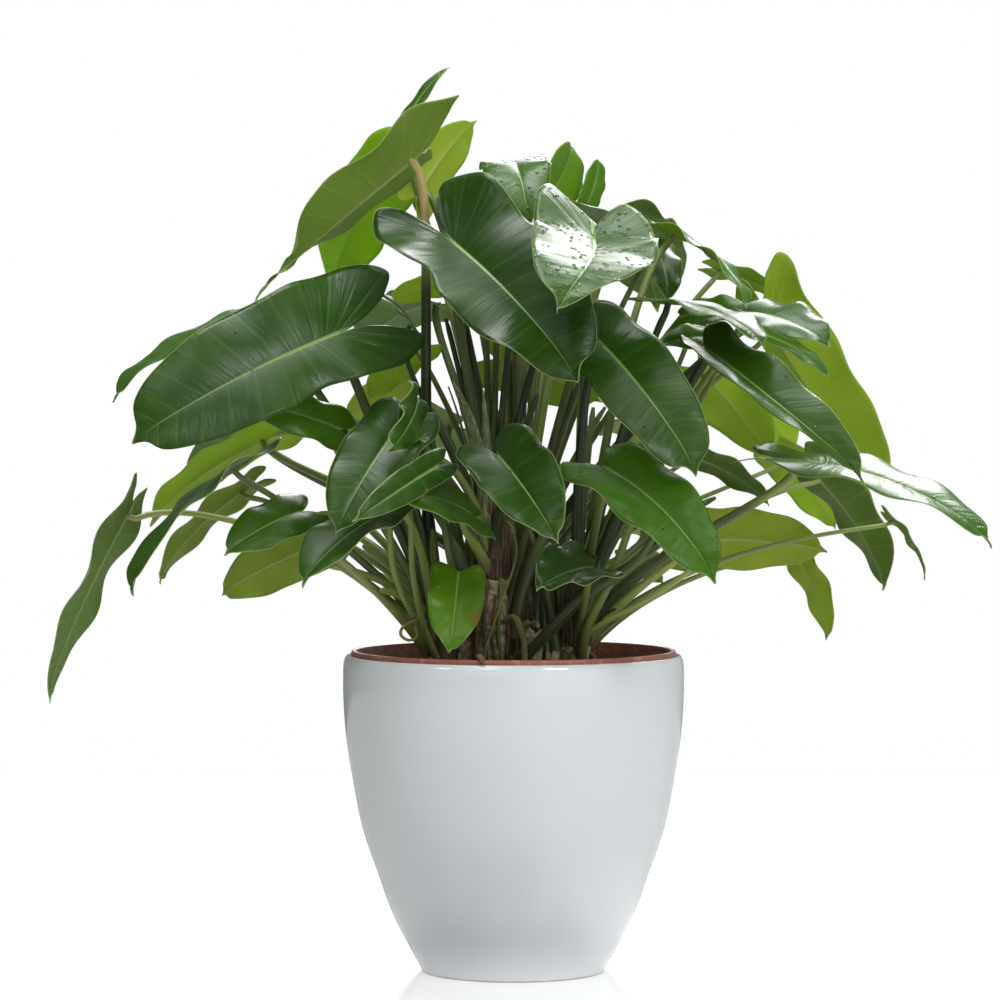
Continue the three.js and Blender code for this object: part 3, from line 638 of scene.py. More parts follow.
centre("centre_mid", (-11, -110, 386), (31, -175, 328), (0.1, -1, 0.3), 0.12, half=0.3, fold=0.45, cup=0.1)
centre("front_young", (-40, -80, 300), (-46, -118, 246), (0.1, -1, 0.25), 0.7, half=0.31, lobe=0.5,
       frill=0.03)
# top
right("top_glossy", (58, -92, 543), (32, -222, 499), (0.17, -0.3, 1), 0.25, half=0.33, lift=0.7, sweep=0.06,
      fold=0.26, cup=0.05, sinus=(0.1, 0.3), lobes=(1, 1.2), frill=0.02, tan=0.8)
back("top_mid", (-1, 60, 605), (12, -35, 557), (-0.1, -0.6, 1), 0.3, half=0.24, arch=0.18, lift=0.45,
     lobe=0.8)
back("top_upright", (24, 115, 578), (46, 155, 625), (0.7, -0.6, 0.1), 0.7, half=0.32, fold=0.45)
left("upper_left", (-76, -5, 604), (-202, 30, 497), (-0.65, 0.55, 0.55), 0.4, half=0.2, fold=0.5, lobe=1.3,
     arch=0.01, bend=(-9, 10, 6), blunt=-0.6, lobes=(1, 0.2), tan=1, ribbon=0.42)
back("upper_left_back", (-100, 98, 595), (-143, 158, 509), (-0.3, -0.8, 0.5), 1, half=0.34)
back("top_left_bright", (-71, 58, 584), (-30, 88, 639), (-0.5, 0.8, 0.1), 0.9, half=0.27)
back("top_small_back", (58, 128, 580), (66, 138, 613), (0.6, -0.7, 0.1), 0.6, half=0.3, alone=True)
back("top_left_tip", (-87, 35, 625), (-49, 45, 678), (-0.5, -0.85, 0.3), 0.25, half=0.085, frill=0.003,
     joined=True)
back("back_high", (78, 80, 566), (115, 200, 500), (0.1, 0.4, 1), 0.2)
# left side
left("left_edge", (-189, -20, 491), (-296, -50, 428), (-0.3, -0.15, 1), 0.3)
centre("left_inner", (-76, 5, 482), (-108, -24, 507), (0, -0.5, 0.8), 0.15, joined=True, bend=(0, -5, 0))
back("left_inner_bright", (-56, 60, 513), (-95, 60, 500), (0, 0.8, 0.6), 0.8, joined=True)
back("left_backlit", (-73, 70, 464), (-112, 90, 427), (-0.3, 0.9, 0.4), 1)
back("left_pale_back", (-80, 120, 427), (-132, 170, 414), (0, 1, 0.3), 0.75)
left("left_under_large", (-132, -30, 406), (-200, -60, 424), (0, -1, 0.5), 0.5, half=0.24)
centre("left_mid_dark", (-84, -80, 406), (-127, -135, 333), (-0.2, -1, 0.2), 0.12)
centre("left_mid_folded", (-70, -70, 425), (-89, -125, 389), (0.85, 0.02, 0.5), 0.2, frill=0.05, half=0.2)
centre("left_mid_drip", (-56, -105, 378), (-112, -165, 342), (0.1, -1, 0.15), 0.15, half=0.14,
       bend=(5, 2, 30))
centre("centre_left_low", (-32, -72, 344), (-92, -124, 360), (0, -0.7, 0.7), 0.4, half=0.3)
left("left_low_narrow", (-81, -60, 349), (-152, -130, 296), (0.1, -0.1, 1), 0.2, half=0.26, fold=0.4)
left("left_low_cordate", (-157, -50, 344), (-208, -100, 316), (0.1, -0.8, 0.6), 0.3, half=0.26)
left("left_low_pale", (-145, -10, 319), (-217, -35, 283), (-0.1, 0.9, 0.4), 0.6, lift=0.35)
left("left_out_pale", (-207, 48, 356), (-269, 33, 289), (-0.3, 0.5, 0.8), 0.5, half=0.2, bend=(0, 20, 10),
     slim=0.8)
left("left_out_folded", (-206, -50, 375), (-278, -110, 289), (-0.75, -0.2, 0.6), 0.2, half=0.3, slim=0.8)
back("left_out_bright", (-191, 60, 395), (-279, 75, 332), (-0.4, 0.6, 0.7), 0.75, half=0.2)
back("left_far_grey", (-194, 110, 401), (-256, 150, 371), (-0.2, 0.7, 0.7), 0.2, half=0.22)
left("left_hanging", (-289, -10, 340), (-345.6, -50, 205), (-0.95, 0.25, 0.3), 0.3, half=0.2, lobe=0.7,
     arch=0.02, fold=0.15, bend=(0, 35, 20), slim=0.7, tan=0.7, frill=0.004)
# right side
right("right_top_edge", (122, 30, 550), (173, -50, 496), (0.45, 0.12, 0.85), 0.45, half=0.18, lobe=0.7,
      bend=(0, -30, 0))
back("right_top_small", (108, 80, 544), (116, 30, 501), (0.3, -0.8, 0.3), 0.2, joined=True, half=0.24)
back("right_back_narrow", (158, 80, 525), (208, 80, 500), (0.2, 0.4, 0.9), 0.5, joined=True)
back("right_large", (193, 60, 489), (285, 60, 361), (0.6, 0.6, 0.45), 0.75, half=0.26, lobe=0.8, fold=0.5,
     sweep=0.09, arch=0.02)
right("right_glossy_tip", (169, -20, 491), (229, -85, 467), (0.1, -0.6, 0.8), 0.2, bend=(-2, 4, 5))
back("right_drip", (189, 20, 474), (236, 10, 443), (0.2, -0.3, 0.9), 0.3, joined=True)
right("right_waved", (114, -40, 498), (181, -110, 467), (0.2, -0.15, 1), 0.1)
right("right_dark_back", (132, 45, 490), (176, 15, 492), (0, -0.8, 0.6), 0.3, joined=True, bend=(0, -20, 0))
right("right_grey", (157, 0, 472), (107, -20, 467), (0.1, -0.6, 0.8), 0.35, joined=True)
right("right_long", (142, -60, 462), (251, -150, 371), (0.2, -0.7, 0.8), 0.2, fold=0.6, sweep=-0.06,
      lobe=0.5, half=0.135, widths=(1.1, 0.9))
back("right_backlit", (146, 95, 445), (200, 140, 382), (0.2, 0.95, 0.3), 1)
back("right_backlit_far", (178, 150, 441), (221, 200, 382), (0.2, 0.95, 0.3), 1, bend=(0, 50, -10))
back("right_low_grey", (131, 10, 385), (192, 5, 349), (0.1, 0.5, 0.8), 0.3, half=0.24, slim=0.75)
right("right_pale", (133, -5, 322), (234, 10, 314), (0, 0.9, 0.4), 0.9, half=0.26)
right("right_hanging", (232, 45, 365), (280, 15, 284), (0.75, 0.6, 0.35), 0.3, half=0.25, fold=0.5,
      slim=0.75)
back("right_hanging_back", (207, 90, 380), (249, 110, 327), (0.4, 0.9, 0.3), 1, joined=True, slim=0.75)
right("right_olive", (214, 40, 308), (237, 20, 246), (0.6, 0.5, 0.5), 0.8, joined=True, slim=0.75)
right("right_far", (209, -60, 382), (346, -110, 326), (0.0, -0.16, 1), 0.3, half=0.26, tan=0.6)
right("right_far_small", (284, 0, 335), (306, -20, 293), (0.5, 0.2, 0.6), 0.3, half=0.2, joined=True,
      slim=0.8, tan=0.6)
# low down and behind
right("low_dark", (57, -70, 304), (17, -115, 291), (0, -0.7, 0.7), 0.1, joined=True, half=0.4, fold=0.5,
      frill=0.04)
back("low_bright_back", (83, 70, 304), (115, 80, 286), (0.2, 0.8, 0.5), 1, joined=True)
back("centre_back", (-10, 110, 456), (68, 150, 425), (0, 1, 0.3), 0.6)
back("back_left", (-60, 130, 500), (-120, 240, 470), (-0.2, 0.7, 0.7), 0.2)
back("back_mid_left", (-50, 160, 405), (-140, 246, 380), (-0.2, 0.8, 0.6), 0.3, frill=0.004)
back("back_mid_right", (90, 130, 410), (150, 220, 375), (0.2, 0.8, 0.6), 0.5)
back("back_centre", (10, 140, 520), (40, 246, 470), (0, 0.7, 0.7), 0.3, bend=(0, -30, 0), frill=0.004)
back("back_low", (10, 120, 370), (0, 230, 310), (0, 0.8, 0.6), 0.5)
back("back_low_right", (100, 100, 330), (170, 190, 300), (0.3, 0.8, 0.6), 0.5)

blade_thickness = 0.8
tip_hook, margin_wave, vein_bulge = 0.04, 0.024, 0.0036  # in lengths of the blade
margin_waves = 2.3
outline = [  # where a vein leaves the midrib, and where it meets the margin: along, and in half widths
    (0, -0.22, 0.3), (0.01, -0.28, 0.62), (0.05, -0.15, 0.92), (0.13, 0.07, 1), (0.28, 0.33, 1),
    (0.47, 0.57, 0.9), (0.66, 0.77, 0.64), (0.84, 0.91, 0.27), (0.925, 0.957, 0.075), (1, 1, 0)]
tip_widening = (0.08, 0.17, 0.06)  # of the rows before the tip, on a blunt leaf
torn_spot, bitten_spot = (-0.0265, -0.104, 0.268), (-0.141, -0.045, 0.4215)

blade_skin, wire = finish("blade_skin", IOR=1.4)
from_rib, from_margin, down = (wire.axis(wire.named("blade", "Vector"), axis) for axis in "XYZ")
phase, across = (wire.axis(wire.named("veins", "Vector"), axis) for axis in "XY")
under, tone, size = (wire.axis(wire.named("kind", "Vector"), axis) for axis in "XYZ")
side_vein = 1 - phase.maths("PINGPONG", phase, 0.5).ramp(0, 0.09)
rib_width = (0.0035 + size * 0.012) * (1.1 - down)
midrib = 1 - (from_rib / rib_width).ramp(0.12, 0.34)
stripe = wire.node("ShaderNodeCombineXYZ", sockets={"X": phase * 6.0, "Y": across * 1.3, "Z": size * 40.0})
fine = wire.noise(1, 3, stripe)
cells = wire.noise(900)
blotch = wire.noise(22, 3)
# Painted backlight: the higher a leaf's tone, the paler and yellower both of its faces are coloured. Part of
# this is the real colour of young leaves, and part is light shining through the blade, painted in.
upper = tone.ramp(0, 0.55).mix((0.012, 0.045, 0.004), (0.058, 0.172, 0.008))
upper = tone.ramp(0.5, 1).mix(upper, (0.22, 0.42, 0.015))
upper = (blotch.ramp(0.35, 0.7) * 0.25).mix(upper, (0.06, 0.135, 0.008))
upper = ((fine - 0.45) * 0.4).mix(upper, (0.1, 0.22, 0.02))
upper = (side_vein * 0.13).mix(upper, (0.16, 0.3, 0.06))
upper = (midrib * 0.75).mix(upper, (0.26, 0.42, 0.1))
lower = tone.ramp(0.2, 0.9).mix((0.085, 0.165, 0.035), (0.48, 0.57, 0.045))
lower = (fine * 0.35).mix(lower, (0.27, 0.36, 0.09))
lower = (side_vein * 0.16 + midrib * 0.65).mix(lower, (0.42, 0.52, 0.22))
skin_colour = under.ramp(0.4, 0.6).mix(upper, lower)
scorched = (1 - (from_margin / 0.006).ramp(0.1, 1)) * wire.noise(38, 4).ramp(0.66, 0.76)
ragged = 0.012 * cells
scorched = scorched + (1 - (wire.far(wire.place(), torn_spot) + ragged).ramp(0.008, 0.016))
scorched = scorched + (1 - (wire.far(wire.place(), bitten_spot) + ragged).ramp(0.004, 0.01))
skin_colour = (scorched * 0.85).mix(skin_colour, (0.28, 0.18, 0.05))
margin = 1 - from_margin.ramp(0.0001, 0.0006)
(margin * 0.65).mix(skin_colour, (0.5, 0.62, 0.24)).into("Base Color")
(0.2 + 0.28 * under.ramp(0.4, 0.6) + 0.14 * blotch + 0.05 * cells).into("Roughness")
wire.bump((0.85 * fine + 0.15 * cells) * (0.3 + 4.5 * size), 0.00055)
glow = wire.node("ShaderNodeBsdfTranslucent", sockets={"Color": (0.46, 0.68, 0.03, 1)})
gloss = Wire(wire.tree, wire.tree.nodes["Principled BSDF"].outputs[0])
shining_through = 0.1 + 0.38 * tone - (0.3 * midrib + 0.08 * side_vein) * tone
wire.node("ShaderNodeMixShader", sockets={0: shining_through, 1: gloss, 2: glow}).into(
    "Surface", "Material Output")


def sheet_solid(middle, above, below, ridge=0):
    """A closed sheet: a grid of points with a wall above and below it, and the number of its smooth
    faces. Ridge is what is taken off the underside besides."""
    rows, columns, _ = middle.shape
    index = np.arange(rows * columns).reshape(rows, columns)
    quads = np.stack([index[:-1, :-1], index[1:, :-1], index[1:, 1:], index[:-1, 1:]], axis=-1).reshape(-1, 4)
    flat = middle.reshape(-1, 3)
    face_normals = np.cross(flat[quads[:, 2]] - flat[quads[:, 0]], flat[quads[:, 3]] - flat[quads[:, 1]])
    normals = np.zeros_like(flat)
    for corner in range(4):
        np.add.at(normals, quads[:, corner], face_normals)
    normals /= np.maximum(np.linalg.norm(normals, axis=1, keepdims=True), 1e-12)
    normals = normals.reshape(middle.shape)
    upper = middle + normals * np.broadcast_to(above, (rows, columns))[..., None]
    lower = middle - normals * np.broadcast_to(below, (rows, columns))[..., None] - ridge
    border = np.concatenate([index[0, ::-1], index[1:, 0], index[-1, 1:], index[-2:0:-1, -1]])
    after = np.roll(border, -1)
    rim = np.stack([border, border + len(flat), after + len(flat), after], axis=-1)
    points = np.concatenate([upper.reshape(-1, 3), lower.reshape(-1, 3)])
    return points, np.concatenate([quads, quads[:, ::-1] + len(flat), rim]), len(quads) * 2


def blade(leaf, number):
    """The blade's points, faces and number of smooth faces, and the measures that colour its skin."""
    length = leaf.length
    large = length > 110
    rows, half_columns, veins = (104, 11, 13) if large else (56, 8, 8)
    t = np.linspace(0, 0.995, rows + 1)
    edge_rows = np.array(outline)
    edge_rows[6:9, 2] += leaf.blunt * np.array(tip_widening)
    rib, margin_along, margin_across = np.array([catmull(edge_rows, x) for x in t]).T[..., None]
    share = np.concatenate([[0, 0.035], np.linspace(0.09, 1, half_columns - 1) ** 0.85])
    share = np.concatenate([-share[:0:-1], share])[None, :]
    s, side = np.abs(share), np.sign(share)
    t = t[:, None]

    def halves(pair):
        return np.where(side > 0, *pair)

    lobes = np.where(margin_along < 0, leaf.lobe * halves(leaf.lobes), 1)
    a = rib + (margin_along * lobes - rib) * s
    notch = halves(leaf.sinus) * np.sin(pi * s) * np.clip(1 - 6.5 * t, 0, 1) ** 2
    x = margin_across * halves(leaf.widths) * s - notch
    x = x * (1 - halves(leaf.waist) * np.exp(-(((a - 0.2) / 0.11) ** 2)))
    x = x * (1 - halves(leaf.pinch) * np.clip((0.2 - a) / 0.38, 0, 1) ** 2)
    ribbon = np.clip((a - leaf.ribbon) / 0.32, 0, 1)
    x = x * (1 - 0.82 * ribbon**2 * (3 - 2 * ribbon))
    bow = 4 * a * (1 - a)
    phase = veins * (t + 0.12 * np.sqrt(t)) + 0 * s
    uneven = 0.65 + 0.35 * np.sin(2.3 * np.floor(phase) + 1.7 * number + 2 * side)
    bulge = np.abs(np.sin(pi * phase)) ** 0.9 * 4 * s * (1 - s) * uneven
    frill = s**3 * np.sin(2 * pi * (3.6 + 0.7 * sin(5 * number)) * t + 2.1 * number + side)
    rise = (leaf.arch * bow + leaf.lift * (np.sqrt(a**2 + 0.11**2) - a - 0.11) / 2
            - tip_hook * np.maximum(0, (a - 0.8) / 0.2) ** 2
            + leaf.half * (leaf.fold * x - leaf.cup * x**2)
            + margin_wave * x**2 * np.sin(2 * pi * margin_waves * a + 1.7 * number + (side > 0) * 1.4)
            + vein_bulge * bulge + leaf.frill * frill)
    twist = 8.5 * np.clip((a - leaf.ribbon - 0.27) / 0.3, 0, 1)
    sideways = leaf.half * x * side * np.cos(twist) + leaf.sweep * bow
    rise = rise + leaf.half * x * side * np.sin(twist)
    middle = leaf.at + length * (leaf.along * a[..., None] + leaf.across * sideways[..., None]
                                 + leaf.up * rise[..., None])

    rib_mm = length * leaf.half * np.abs(x)
    width = (1.0 + 0.012 * length) * (1.1 - np.clip(a, 0, 1))
    ridge = np.exp(-((rib_mm / width) ** 2))
    depth = (0.6 + 0.012 * length) * np.clip(1 - a, 0, 1) * ridge
    groove = 0.35 * ridge
    half_wall = 0.5 * blade_thickness * (1 - 0.35 * s**4)
    points, faces, smooth_faces = sheet_solid(middle, half_wall - groove, half_wall,
                                              leaf.up * depth[..., None])

    def both_walls(*parts):
        return np.tile(np.stack(np.broadcast_arrays(*parts), axis=-1).reshape(-1, 3), (2, 1))

    margin_mm = rib_mm.max(axis=1, keepdims=True) - rib_mm
    measures = {"blade": both_walls(rib_mm * MM, margin_mm * MM, np.clip(a, 0, 1)),
                "veins": both_walls(phase, share, 0),
                "kind": both_walls(0 * a, leaf.tone, length * MM)}
    measures["kind"][a.size:, 0] = 1
    return points, faces, smooth_faces, measures


for number, one in enumerate(leaves):
    points, faces, smooth_faces, measures = blade(one, number)
    nodes = [] if one.alone else ["stalks_" + one.stem if one.joined else "leaf_" + one.name]
    mesh = add_piece("blade_" + one.name, points, faces.tolist(), blade_skin, "leaf_green", *nodes)
    for name, values in measures.items():
        store(mesh, name, values)
    mesh.polygons.foreach_set("use_smooth", np.arange(len(faces)) < smooth_faces)


# Water drops
# The top leaves are wet. Flattened drops stand on their upper faces, crowded on the highest leaf.
drops_per_square_metre = {"top_glossy": 12000, "top_mid": 9000, "right_low_front": 1500, "right_front": 700,
                          "right_long": 700, "centre_mid": 700, "right_far": 1200, "left_large": 150}
ports = start_tree("water_drops", Density="Float", Radius="Float", Seed="Int")
wet = ports["Geometry"]
spread = wet.node("FunctionNodeRandomValue", {"data_type": "FLOAT"}, {2: 0.35, 3: 1.0, "Seed": 5})
drop = wet.node("GeometryNodeMeshUVSphere", sockets={"Segments": 9, "Rings": 6, "Radius": ports["Radius"]})
drop = wet.node("GeometryNodeTransform", sockets={"Geometry": drop, "Scale": (1.0, 0.85, 0.5)})
drop = wet.node("GeometryNodeSetShadeSmooth", sockets={"Geometry": drop, "Shade Smooth": True})
water_drops = strewn(ports, drop, spread)
water, wire = finish("water", IOR=1.33, Transmission_Weight=1.0)
(0.03 * wire.noise(300)).into("Roughness")
for number, one in enumerate(leaves):
    if one.name in drops_per_square_metre:
        points, faces, smooth_faces, _ = blade(one, number)
        wet_face = mesh_of("wet_face", points, faces[:smooth_faces // 2].tolist())
        grown("drops_" + one.name, wet_face, water_drops, water, "leaf_green",
              Density=float(drops_per_square_metre[one.name]), Radius=0.0015, Seed=number)


# Stalks
# Each leaf hangs on a long firm stalk. It clasps the crown of its trunk, arches over, and comes up to the
# blade from below. The stalks are green, with pale lines along them, and brown at the foot. Painted shade
# darkens them: it makes the tall stalks in the middle of the plant nearly black, and darkens many of them
# towards their foot.
crown_height = 46
crown_radius = 11
neck_length = 5
stalk_skin, wire = finish("stalk_skin", IOR=1.45)
tone = wire.named("tone")
streaks = wire.noise(1.0, 3.0, lengthwise(wire, 2.5, 40))
flecks = wire.noise(1.0, 2.0, lengthwise(wire, 4, 400))
# The tone carries painted shade and light: a low tone paints a stalk near black and a high one light green.
# The highest tones turn tan, like the hooks under the blades.
green = tone.ramp(0, 0.9).mix((0.018, 0.026, 0.01), (0.29, 0.37, 0.09))
green = tone.ramp(0.8, 1.5).mix(green, (0.4, 0.31, 0.11))
pale = tone.mix((0.05, 0.08, 0.025), (0.44, 0.52, 0.18))
green = (streaks.ramp(0.42, 0.7) * 0.5).mix(green, pale)
green = (flecks.ramp(0.62, 0.7) * 0.5).mix(green, pale)
foot_brown = 1 - (wire.named("run") + 0.01 * streaks).ramp(0.004, 0.035)
foot_brown.mix(green, (0.14, 0.085, 0.04)).into("Base Color")
(0.22 + 0.25 * streaks + 0.3 * foot_brown).into("Roughness")
wire.bump(streaks, 0.0003)


# Painted shade: the least light painted on the stalks of each stem, and how much darker they are painted
# towards their foot.
stem_light = {"left": 0.3, "centre": 0.12, "right": 0.38, "back": 0.45}
foot_shadow = {"left": 0, "centre": 0.4, "right": 0.6, "back": 0.4}


def stalk_shade(stem, height):
    """How light a stalk is painted: painted shade makes the tallest ones in the middle of the plant nearly
    black, and each stem has a least light of its own.
    """
    return 0.85 * max(min((480 - height) / 170, 1), stem_light[stem])


def leaving(reach):
    """The way a stalk leaves its foot: towards its end, but more upright."""
    return unit(unit(reach) + (0, 0, 0.7))


def flared(share, walk):
    """How much thicker a stalk is near its foot."""
    return 2.6 * np.exp(-share * walk / 30)


def stalk(leaf):
    """The path from the crown to the underside of the blade, with its radii and tones."""
    base = trunk_bases[leaf.stem]
    high = min(max((leaf.at[2] - 350) / 220, -0.3), 0.8)
    foot = np.array([*base, crowns[leaf.stem] + crown_height * high])
    foot[:2] += 6 * unit(leaf.at[:2] - base)
    standoff = 0 if leaf.joined or leaf.alone else 1.3 + 0.012 * leaf.length + 0.5 * blade_thickness
    neck = leaf.at - leaf.up * (standoff + neck_length)
    span = np.linalg.norm(neck - foot)
    arrive = unit(leaf.up + 0.3 * leaf.along) * min(0.2 * span, 35)
    leave = leaving(neck - foot) * 0.35 * span
    curve = bezier([foot, foot + leave + leaf.bend, neck - arrive + leaf.bend, neck], shares(90)[:, None])
    curve = np.concatenate([curve, [leaf.at - leaf.up * 0.35]])
    walk = walked(curve)
    share = shares(30)
    points = np.stack([np.interp(share * walk[-1], walk, axis) for axis in curve.T], axis=1)
    radii = (1.25 + 0.011 * leaf.length) * leaf.slim * (1.5 - 0.5 * share) + flared(share, walk[-1])
    radii *= 1 + 0.14 * np.exp(-(((share - 0.93) / 0.04) ** 2))
    own = rng.uniform(-0.32, 0.3)
    points += np.sin(pi * share)[:, None] * rng.normal(0, 1.6, 3)
    # Painted shade and light: darker for tall stalks and towards the foot, and lighter towards the blade of a
    # high-tone leaf.
    tones = stalk_shade(leaf.stem, leaf.at[2]) + own + 0.25 * leaf.tone * share
    tones *= 1 - foot_shadow[leaf.stem] * (1 - share)
    return points, radii, np.maximum(tones, 1.6 * leaf.tan * np.clip((share - 0.68) / 0.2, 0, 1))


old_stalks = {  # bare ends of stalks that lost their blades
    "left": [(-135, 15, 322), (-120, -24, 300), (-128, 44, 345), (-98, -34, 286), (-142, 52, 300),
             (-112, -6, 318), (-106, 24, 296), (-90, 8, 340), (-118, 60, 322), (-96, 46, 372),
             (-92, -14, 410), (-76, 28, 430)],
    "centre": [(-34, -16, 478), (-12, 8, 492), (18, 4, 430), (-22, 22, 510), (-58, -20, 345),
               (-62, 16, 420), (12, -34, 372), (-50, -20, 486), (2, 0, 515), (26, -20, 488)],
    "right": [(122, 22, 330), (152, 34, 352), (108, -14, 312), (138, 62, 304), (60, 30, 420), (88, -6, 366),
              (50, 8, 436), (112, 10, 380)],
    "back": [(34, 62, 480), (-4, 72, 462), (50, 52, 440), (-40, 80, 420), (14, 58, 430), (70, 80, 420),
             (-30, 50, 508), (22, 66, 515), (64, 62, 470)]}


def old_stalk(stem, end):
    foot = np.array([*trunk_bases[stem], crowns[stem] + 0.35 * crown_height])
    end = np.array(end, float)
    span = np.linalg.norm(end - foot)
    share = shares(24)
    points = bezier([foot, foot + leaving(end - foot) * 0.45 * span, end], share[:, None])
    radii = rng.uniform(1.9, 2.9) * (1.3 - 0.3 * share) + flared(share, span)
    radii *= np.clip((1.01 - share) / 0.03, 0, 1) ** 0.5
    return points, radii, np.full(24, stalk_shade(stem, end[2]) + rng.uniform(-0.25, 0.2))


leaning = {  # thick feet of old stalks that lean against the crowns: from, to
    "left": [((-48, -6, 222), (-38, -10, 352)), ((-58, 4, 226), (-74, 8, 356)),
             ((-44, 8, 220), (-30, 16, 344)), ((-50, -8, 224), (-60, -16, 330))],
    "centre": [((-24, -30, 262), (-68, -22, 356)), ((-30, -6, 240), (-54, 0, 372)),
               ((0, -22, 250), (36, -22, 346)), ((-10, -20, 246), (24, -12, 368)),
               ((-4, -6, 236), (8, 6, 390))],
    "right": [((26, -12, 216), (22, -16, 338)), ((36, 2, 214), (24, -2, 352)),
              ((34, -14, 222), (12, -22, 330)), ((52, -8, 226), (70, -14, 336))],
    "back": [((-2, 40, 222), (-22, 44, 380)), ((10, 40, 226), (26, 40, 372))]}


def leaning_stalk(start, end):
    start, end = np.array(start, float), np.array(end, float)
    share = shares(22)
    middle = start + (end - start) * 0.5 + rng.normal(0, 5, 3) + (0, 0, 12)
    radii = rng.uniform(5.0, 6.2) * (1 - 0.45 * share) * np.clip((1.04 - share) / 0.2, 0, 1) ** 0.6
    # Their tone is painted shade: near black at the foot, and lighter towards the end.
    return bezier([start, middle, end], share[:, None]), radii, 0.1 + 0.4 * share


low_stalks = {  # slender stalks that leave low on the stems: their path, thickness and tone
    "centre": [([(4, -26, 226), (14, -42, 243), (55, -46, 285), (84, -52, 304), (118, -62, 330)], 3.3, 0.15),
               ([(2, -26, 236), (22, -38, 249), (46, -44, 275), (92, -56, 310), (110, -66, 345)], 2.8, 0.3),
               ([(-30, -30, 268), (-44, -46, 300), (-52, -52, 345), (-60, -40, 400)], 2.6, 0.3)],
    "right": [([(50, -14, 230), (56, -30, 254), (93, -46, 276), (130, -54, 302), (142, -50, 322)], 1.9, 0.9),
              ([(50, -14, 226), (54, -34, 257), (67, -42, 285), (74, -44, 301), (90, -40, 345)], 2.9, 0.5),
              ([(50, -18, 246), (60, -24, 257), (67, -28, 267), (76, -30, 272)], 1.2, 0.1)],
    "left": [([(-56, -6, 232), (-72, -20, 262), (-88, -34, 300), (-92, -40, 345), (-96, -36, 378)], 2.2, 0.8),
             ([(-54, -8, 228), (-66, -26, 258), (-74, -44, 300), (-76, -52, 345), (-84, -44, 380)], 2.0, 0.7),
             ([(-62, -20, 262), (-72, -32, 263), (-81, -38, 259), (-83, -39, 253), (-77, -39, 249),
               (-71, -38, 252), (-73, -36, 259)], 1.0, 1.5)],
    "back": [([(8, 50, 230), (20, 62, 262), (44, 74, 310), (70, 80, 360)], 2.4, 0.5)]}


def low_stalk(path, thick, tone):
    share = shares(30)
    radii = thick * (1.35 - 0.4 * share) * np.clip((1.03 - share) / 0.12, 0, 1) ** 0.5
    return np.array([catmull(path, t) for t in share]), radii, np.full(30, tone)


for name in trunk_bases:
    paths = [leaning_stalk(*one) for one in leaning[name]]
    paths += [low_stalk(*one) for one in low_stalks[name]]
    paths += [stalk(one) for one in leaves if one.stem == name]
    paths += [old_stalk(name, end) for end in old_stalks[name]]
    sweep("leaf_stalks_" + name, paths, 12, stalk_skin, "stalk_green", "stalks_" + name)


# Crowns
# The feet of the stalks overlap in a thick crown on each trunk. Long papery sheaths, which wrapped
# the leaves in bud, stand round it, the young ones pale green and the old ones brown.
sheath_skin, wire = finish("sheath_skin")
fibres = wire.noise(800.0, 4.0, wire.vectors("MULTIPLY", wire.place(), (1, 1, 0.06)))
dry = fibres.ramp(0.35, 0.7).mix((0.03, 0.02, 0.012), (0.2, 0.125, 0.06))
fresh = fibres.ramp(0.35, 0.7).mix((0.1, 0.13, 0.045), (0.34, 0.38, 0.2))
torn = wire.noise(60, 3)
(wire.named("tone") + (torn - 0.5) * 0.25).ramp(0.2, 0.8).mix(dry, fresh).into("Base Color")
(0.5 + 0.35 * fibres).into("Roughness")
wire.bump(fibres, 0.0009)


def papery_sheath(stem, turn, start, height, lean, wrap, tone):
    """A sheath that clasps the crown at its foot and narrows to a point."""
    bx, by = trunk_bases[stem]
    v = shares(18)[:, None]
    s = np.linspace(-1, 1, 11)[None, :]
    width = wrap * (1 - v**1.6) * (1 - 0.3 * v) * (1 - 0.5 * np.exp(-v / 0.05)) + 0.02
    radius = crown_radius + 1.8 - 3.5 * v + lean * v**2 + 1.2 * np.cos(1.2 * s) - 1.5 * np.exp(-v / 0.04)
    angle = turn + 0.5 * width * s + 0.25 * v**2 * sin(5 * turn)
    middle = np.stack([bx + radius * np.cos(angle), by + radius * np.sin(angle),
                       crowns[stem] + start + height * v + 3 * s**2 * np.exp(-v / 0.08)], axis=-1)
    points, faces, _ = sheet_solid(middle, 0.3, 0.3)
    shade = tone * np.clip((v - 0.04) / 0.25, 0.1, 1) + 0 * s
    return points, faces, np.tile(shade.ravel(), 2)


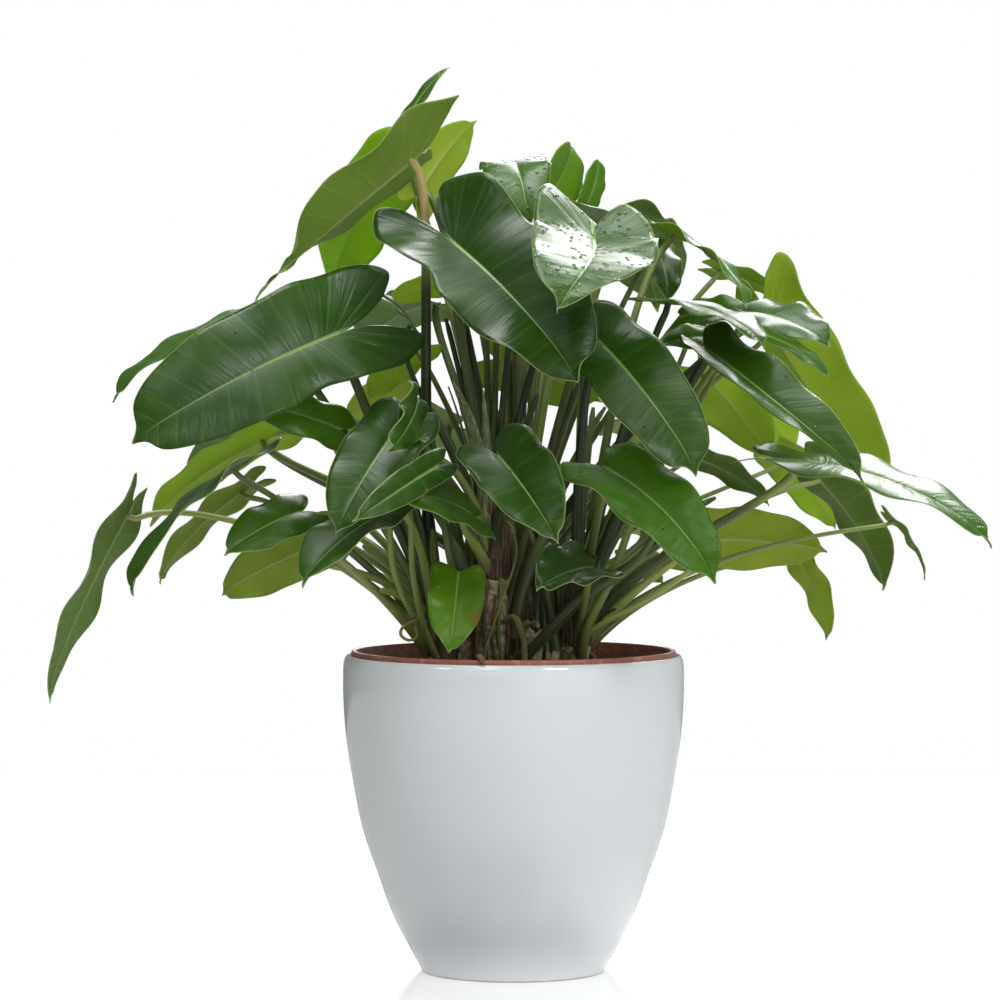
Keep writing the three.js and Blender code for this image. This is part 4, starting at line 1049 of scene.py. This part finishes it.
sheaths = {  # round which way, how far up its foot is, height, lean, wrap, tone
    "left": [(-1.9, -3, 46, 8, 2.2, 0.3), (2.2, -2, 58, 12, 2.0, 0.1), (-0.3, -1, 40, 4, 2.2, 0.0),
             (0.9, -4, 50, 7, 2.0, 0.5), (-2.5, 2, 34, 16, 1.2, 0.4)],
    "centre": [(-1.3, -3, 52, 2, 2.2, 0.1), (-2.2, 10, 88, 7, 1.5, 1.0), (-0.6, 4, 70, 5, 1.8, 0.6),
               (2.3, -3, 60, 7, 2.2, 0.2), (0.6, 0, 66, 8, 2.0, 0.4), (-1.8, 42, 96, 10, 1.0, 0.9),
               (3.0, 30, 110, 22, 1.2, 1.0), (-2.5, 62, 82, 26, 1.6, 1.1), (-1.0, 6, 60, 12, 1.7, 0.2),
               (2.8, -2, 84, 16, 1.6, 0.7), (0.1, 8, 90, 18, 1.4, 0.6)],
    "right": [(-1.7, -3, 50, 6, 2.2, 0.2), (-0.4, -1, 62, 12, 2.0, 0.6), (0.9, -3, 48, 9, 2.2, 0.0),
              (2.6, -2, 66, 4, 2.0, 0.8), (-2.4, 6, 80, 3, 1.4, 0.5), (-0.7, 42, 62, 16, 1.5, 1.1)],
    "back": [(-1.5, -3, 62, 3, 2.2, 0.5), (0.2, -2, 52, 8, 2.0, 0.1), (1.8, -3, 58, 10, 2.2, 0.3),
             (-2.8, 0, 70, 7, 1.8, 0.8)]}
core_outline = [(0, -4), (crown_radius + 1.5, -4), (crown_radius + 1.8, 0.4 * crown_height),
                (0.5 * crown_radius, crown_height), (0, crown_height)]
core, core_faces = lathe(rounded(core_outline, [0, 3, 9, 3, 0], 7), 48)
x, y, z = np.array(core).T
ribbed = 1 + 0.05 * np.sin(7 * np.arctan2(y, x) + 0.2 * z)
for name, (bx, by) in trunk_bases.items():
    points = [np.stack([bx + x * ribbed, by + y * ribbed, crowns[name] + z], axis=1)]
    faces, tones = list(core_faces), [np.full(len(core), 0.15)]
    for one in sheaths[name]:
        more, walls, tone = papery_sheath(name, *one)
        faces += (walls + sum(map(len, points))).tolist()
        points.append(more)
        tones.append(tone)
    mesh = add_piece("crown_" + name, np.concatenate(points), faces, sheath_skin, "stalk_green",
                     "stalks_" + name)
    store(mesh, "tone", np.concatenate(tones))
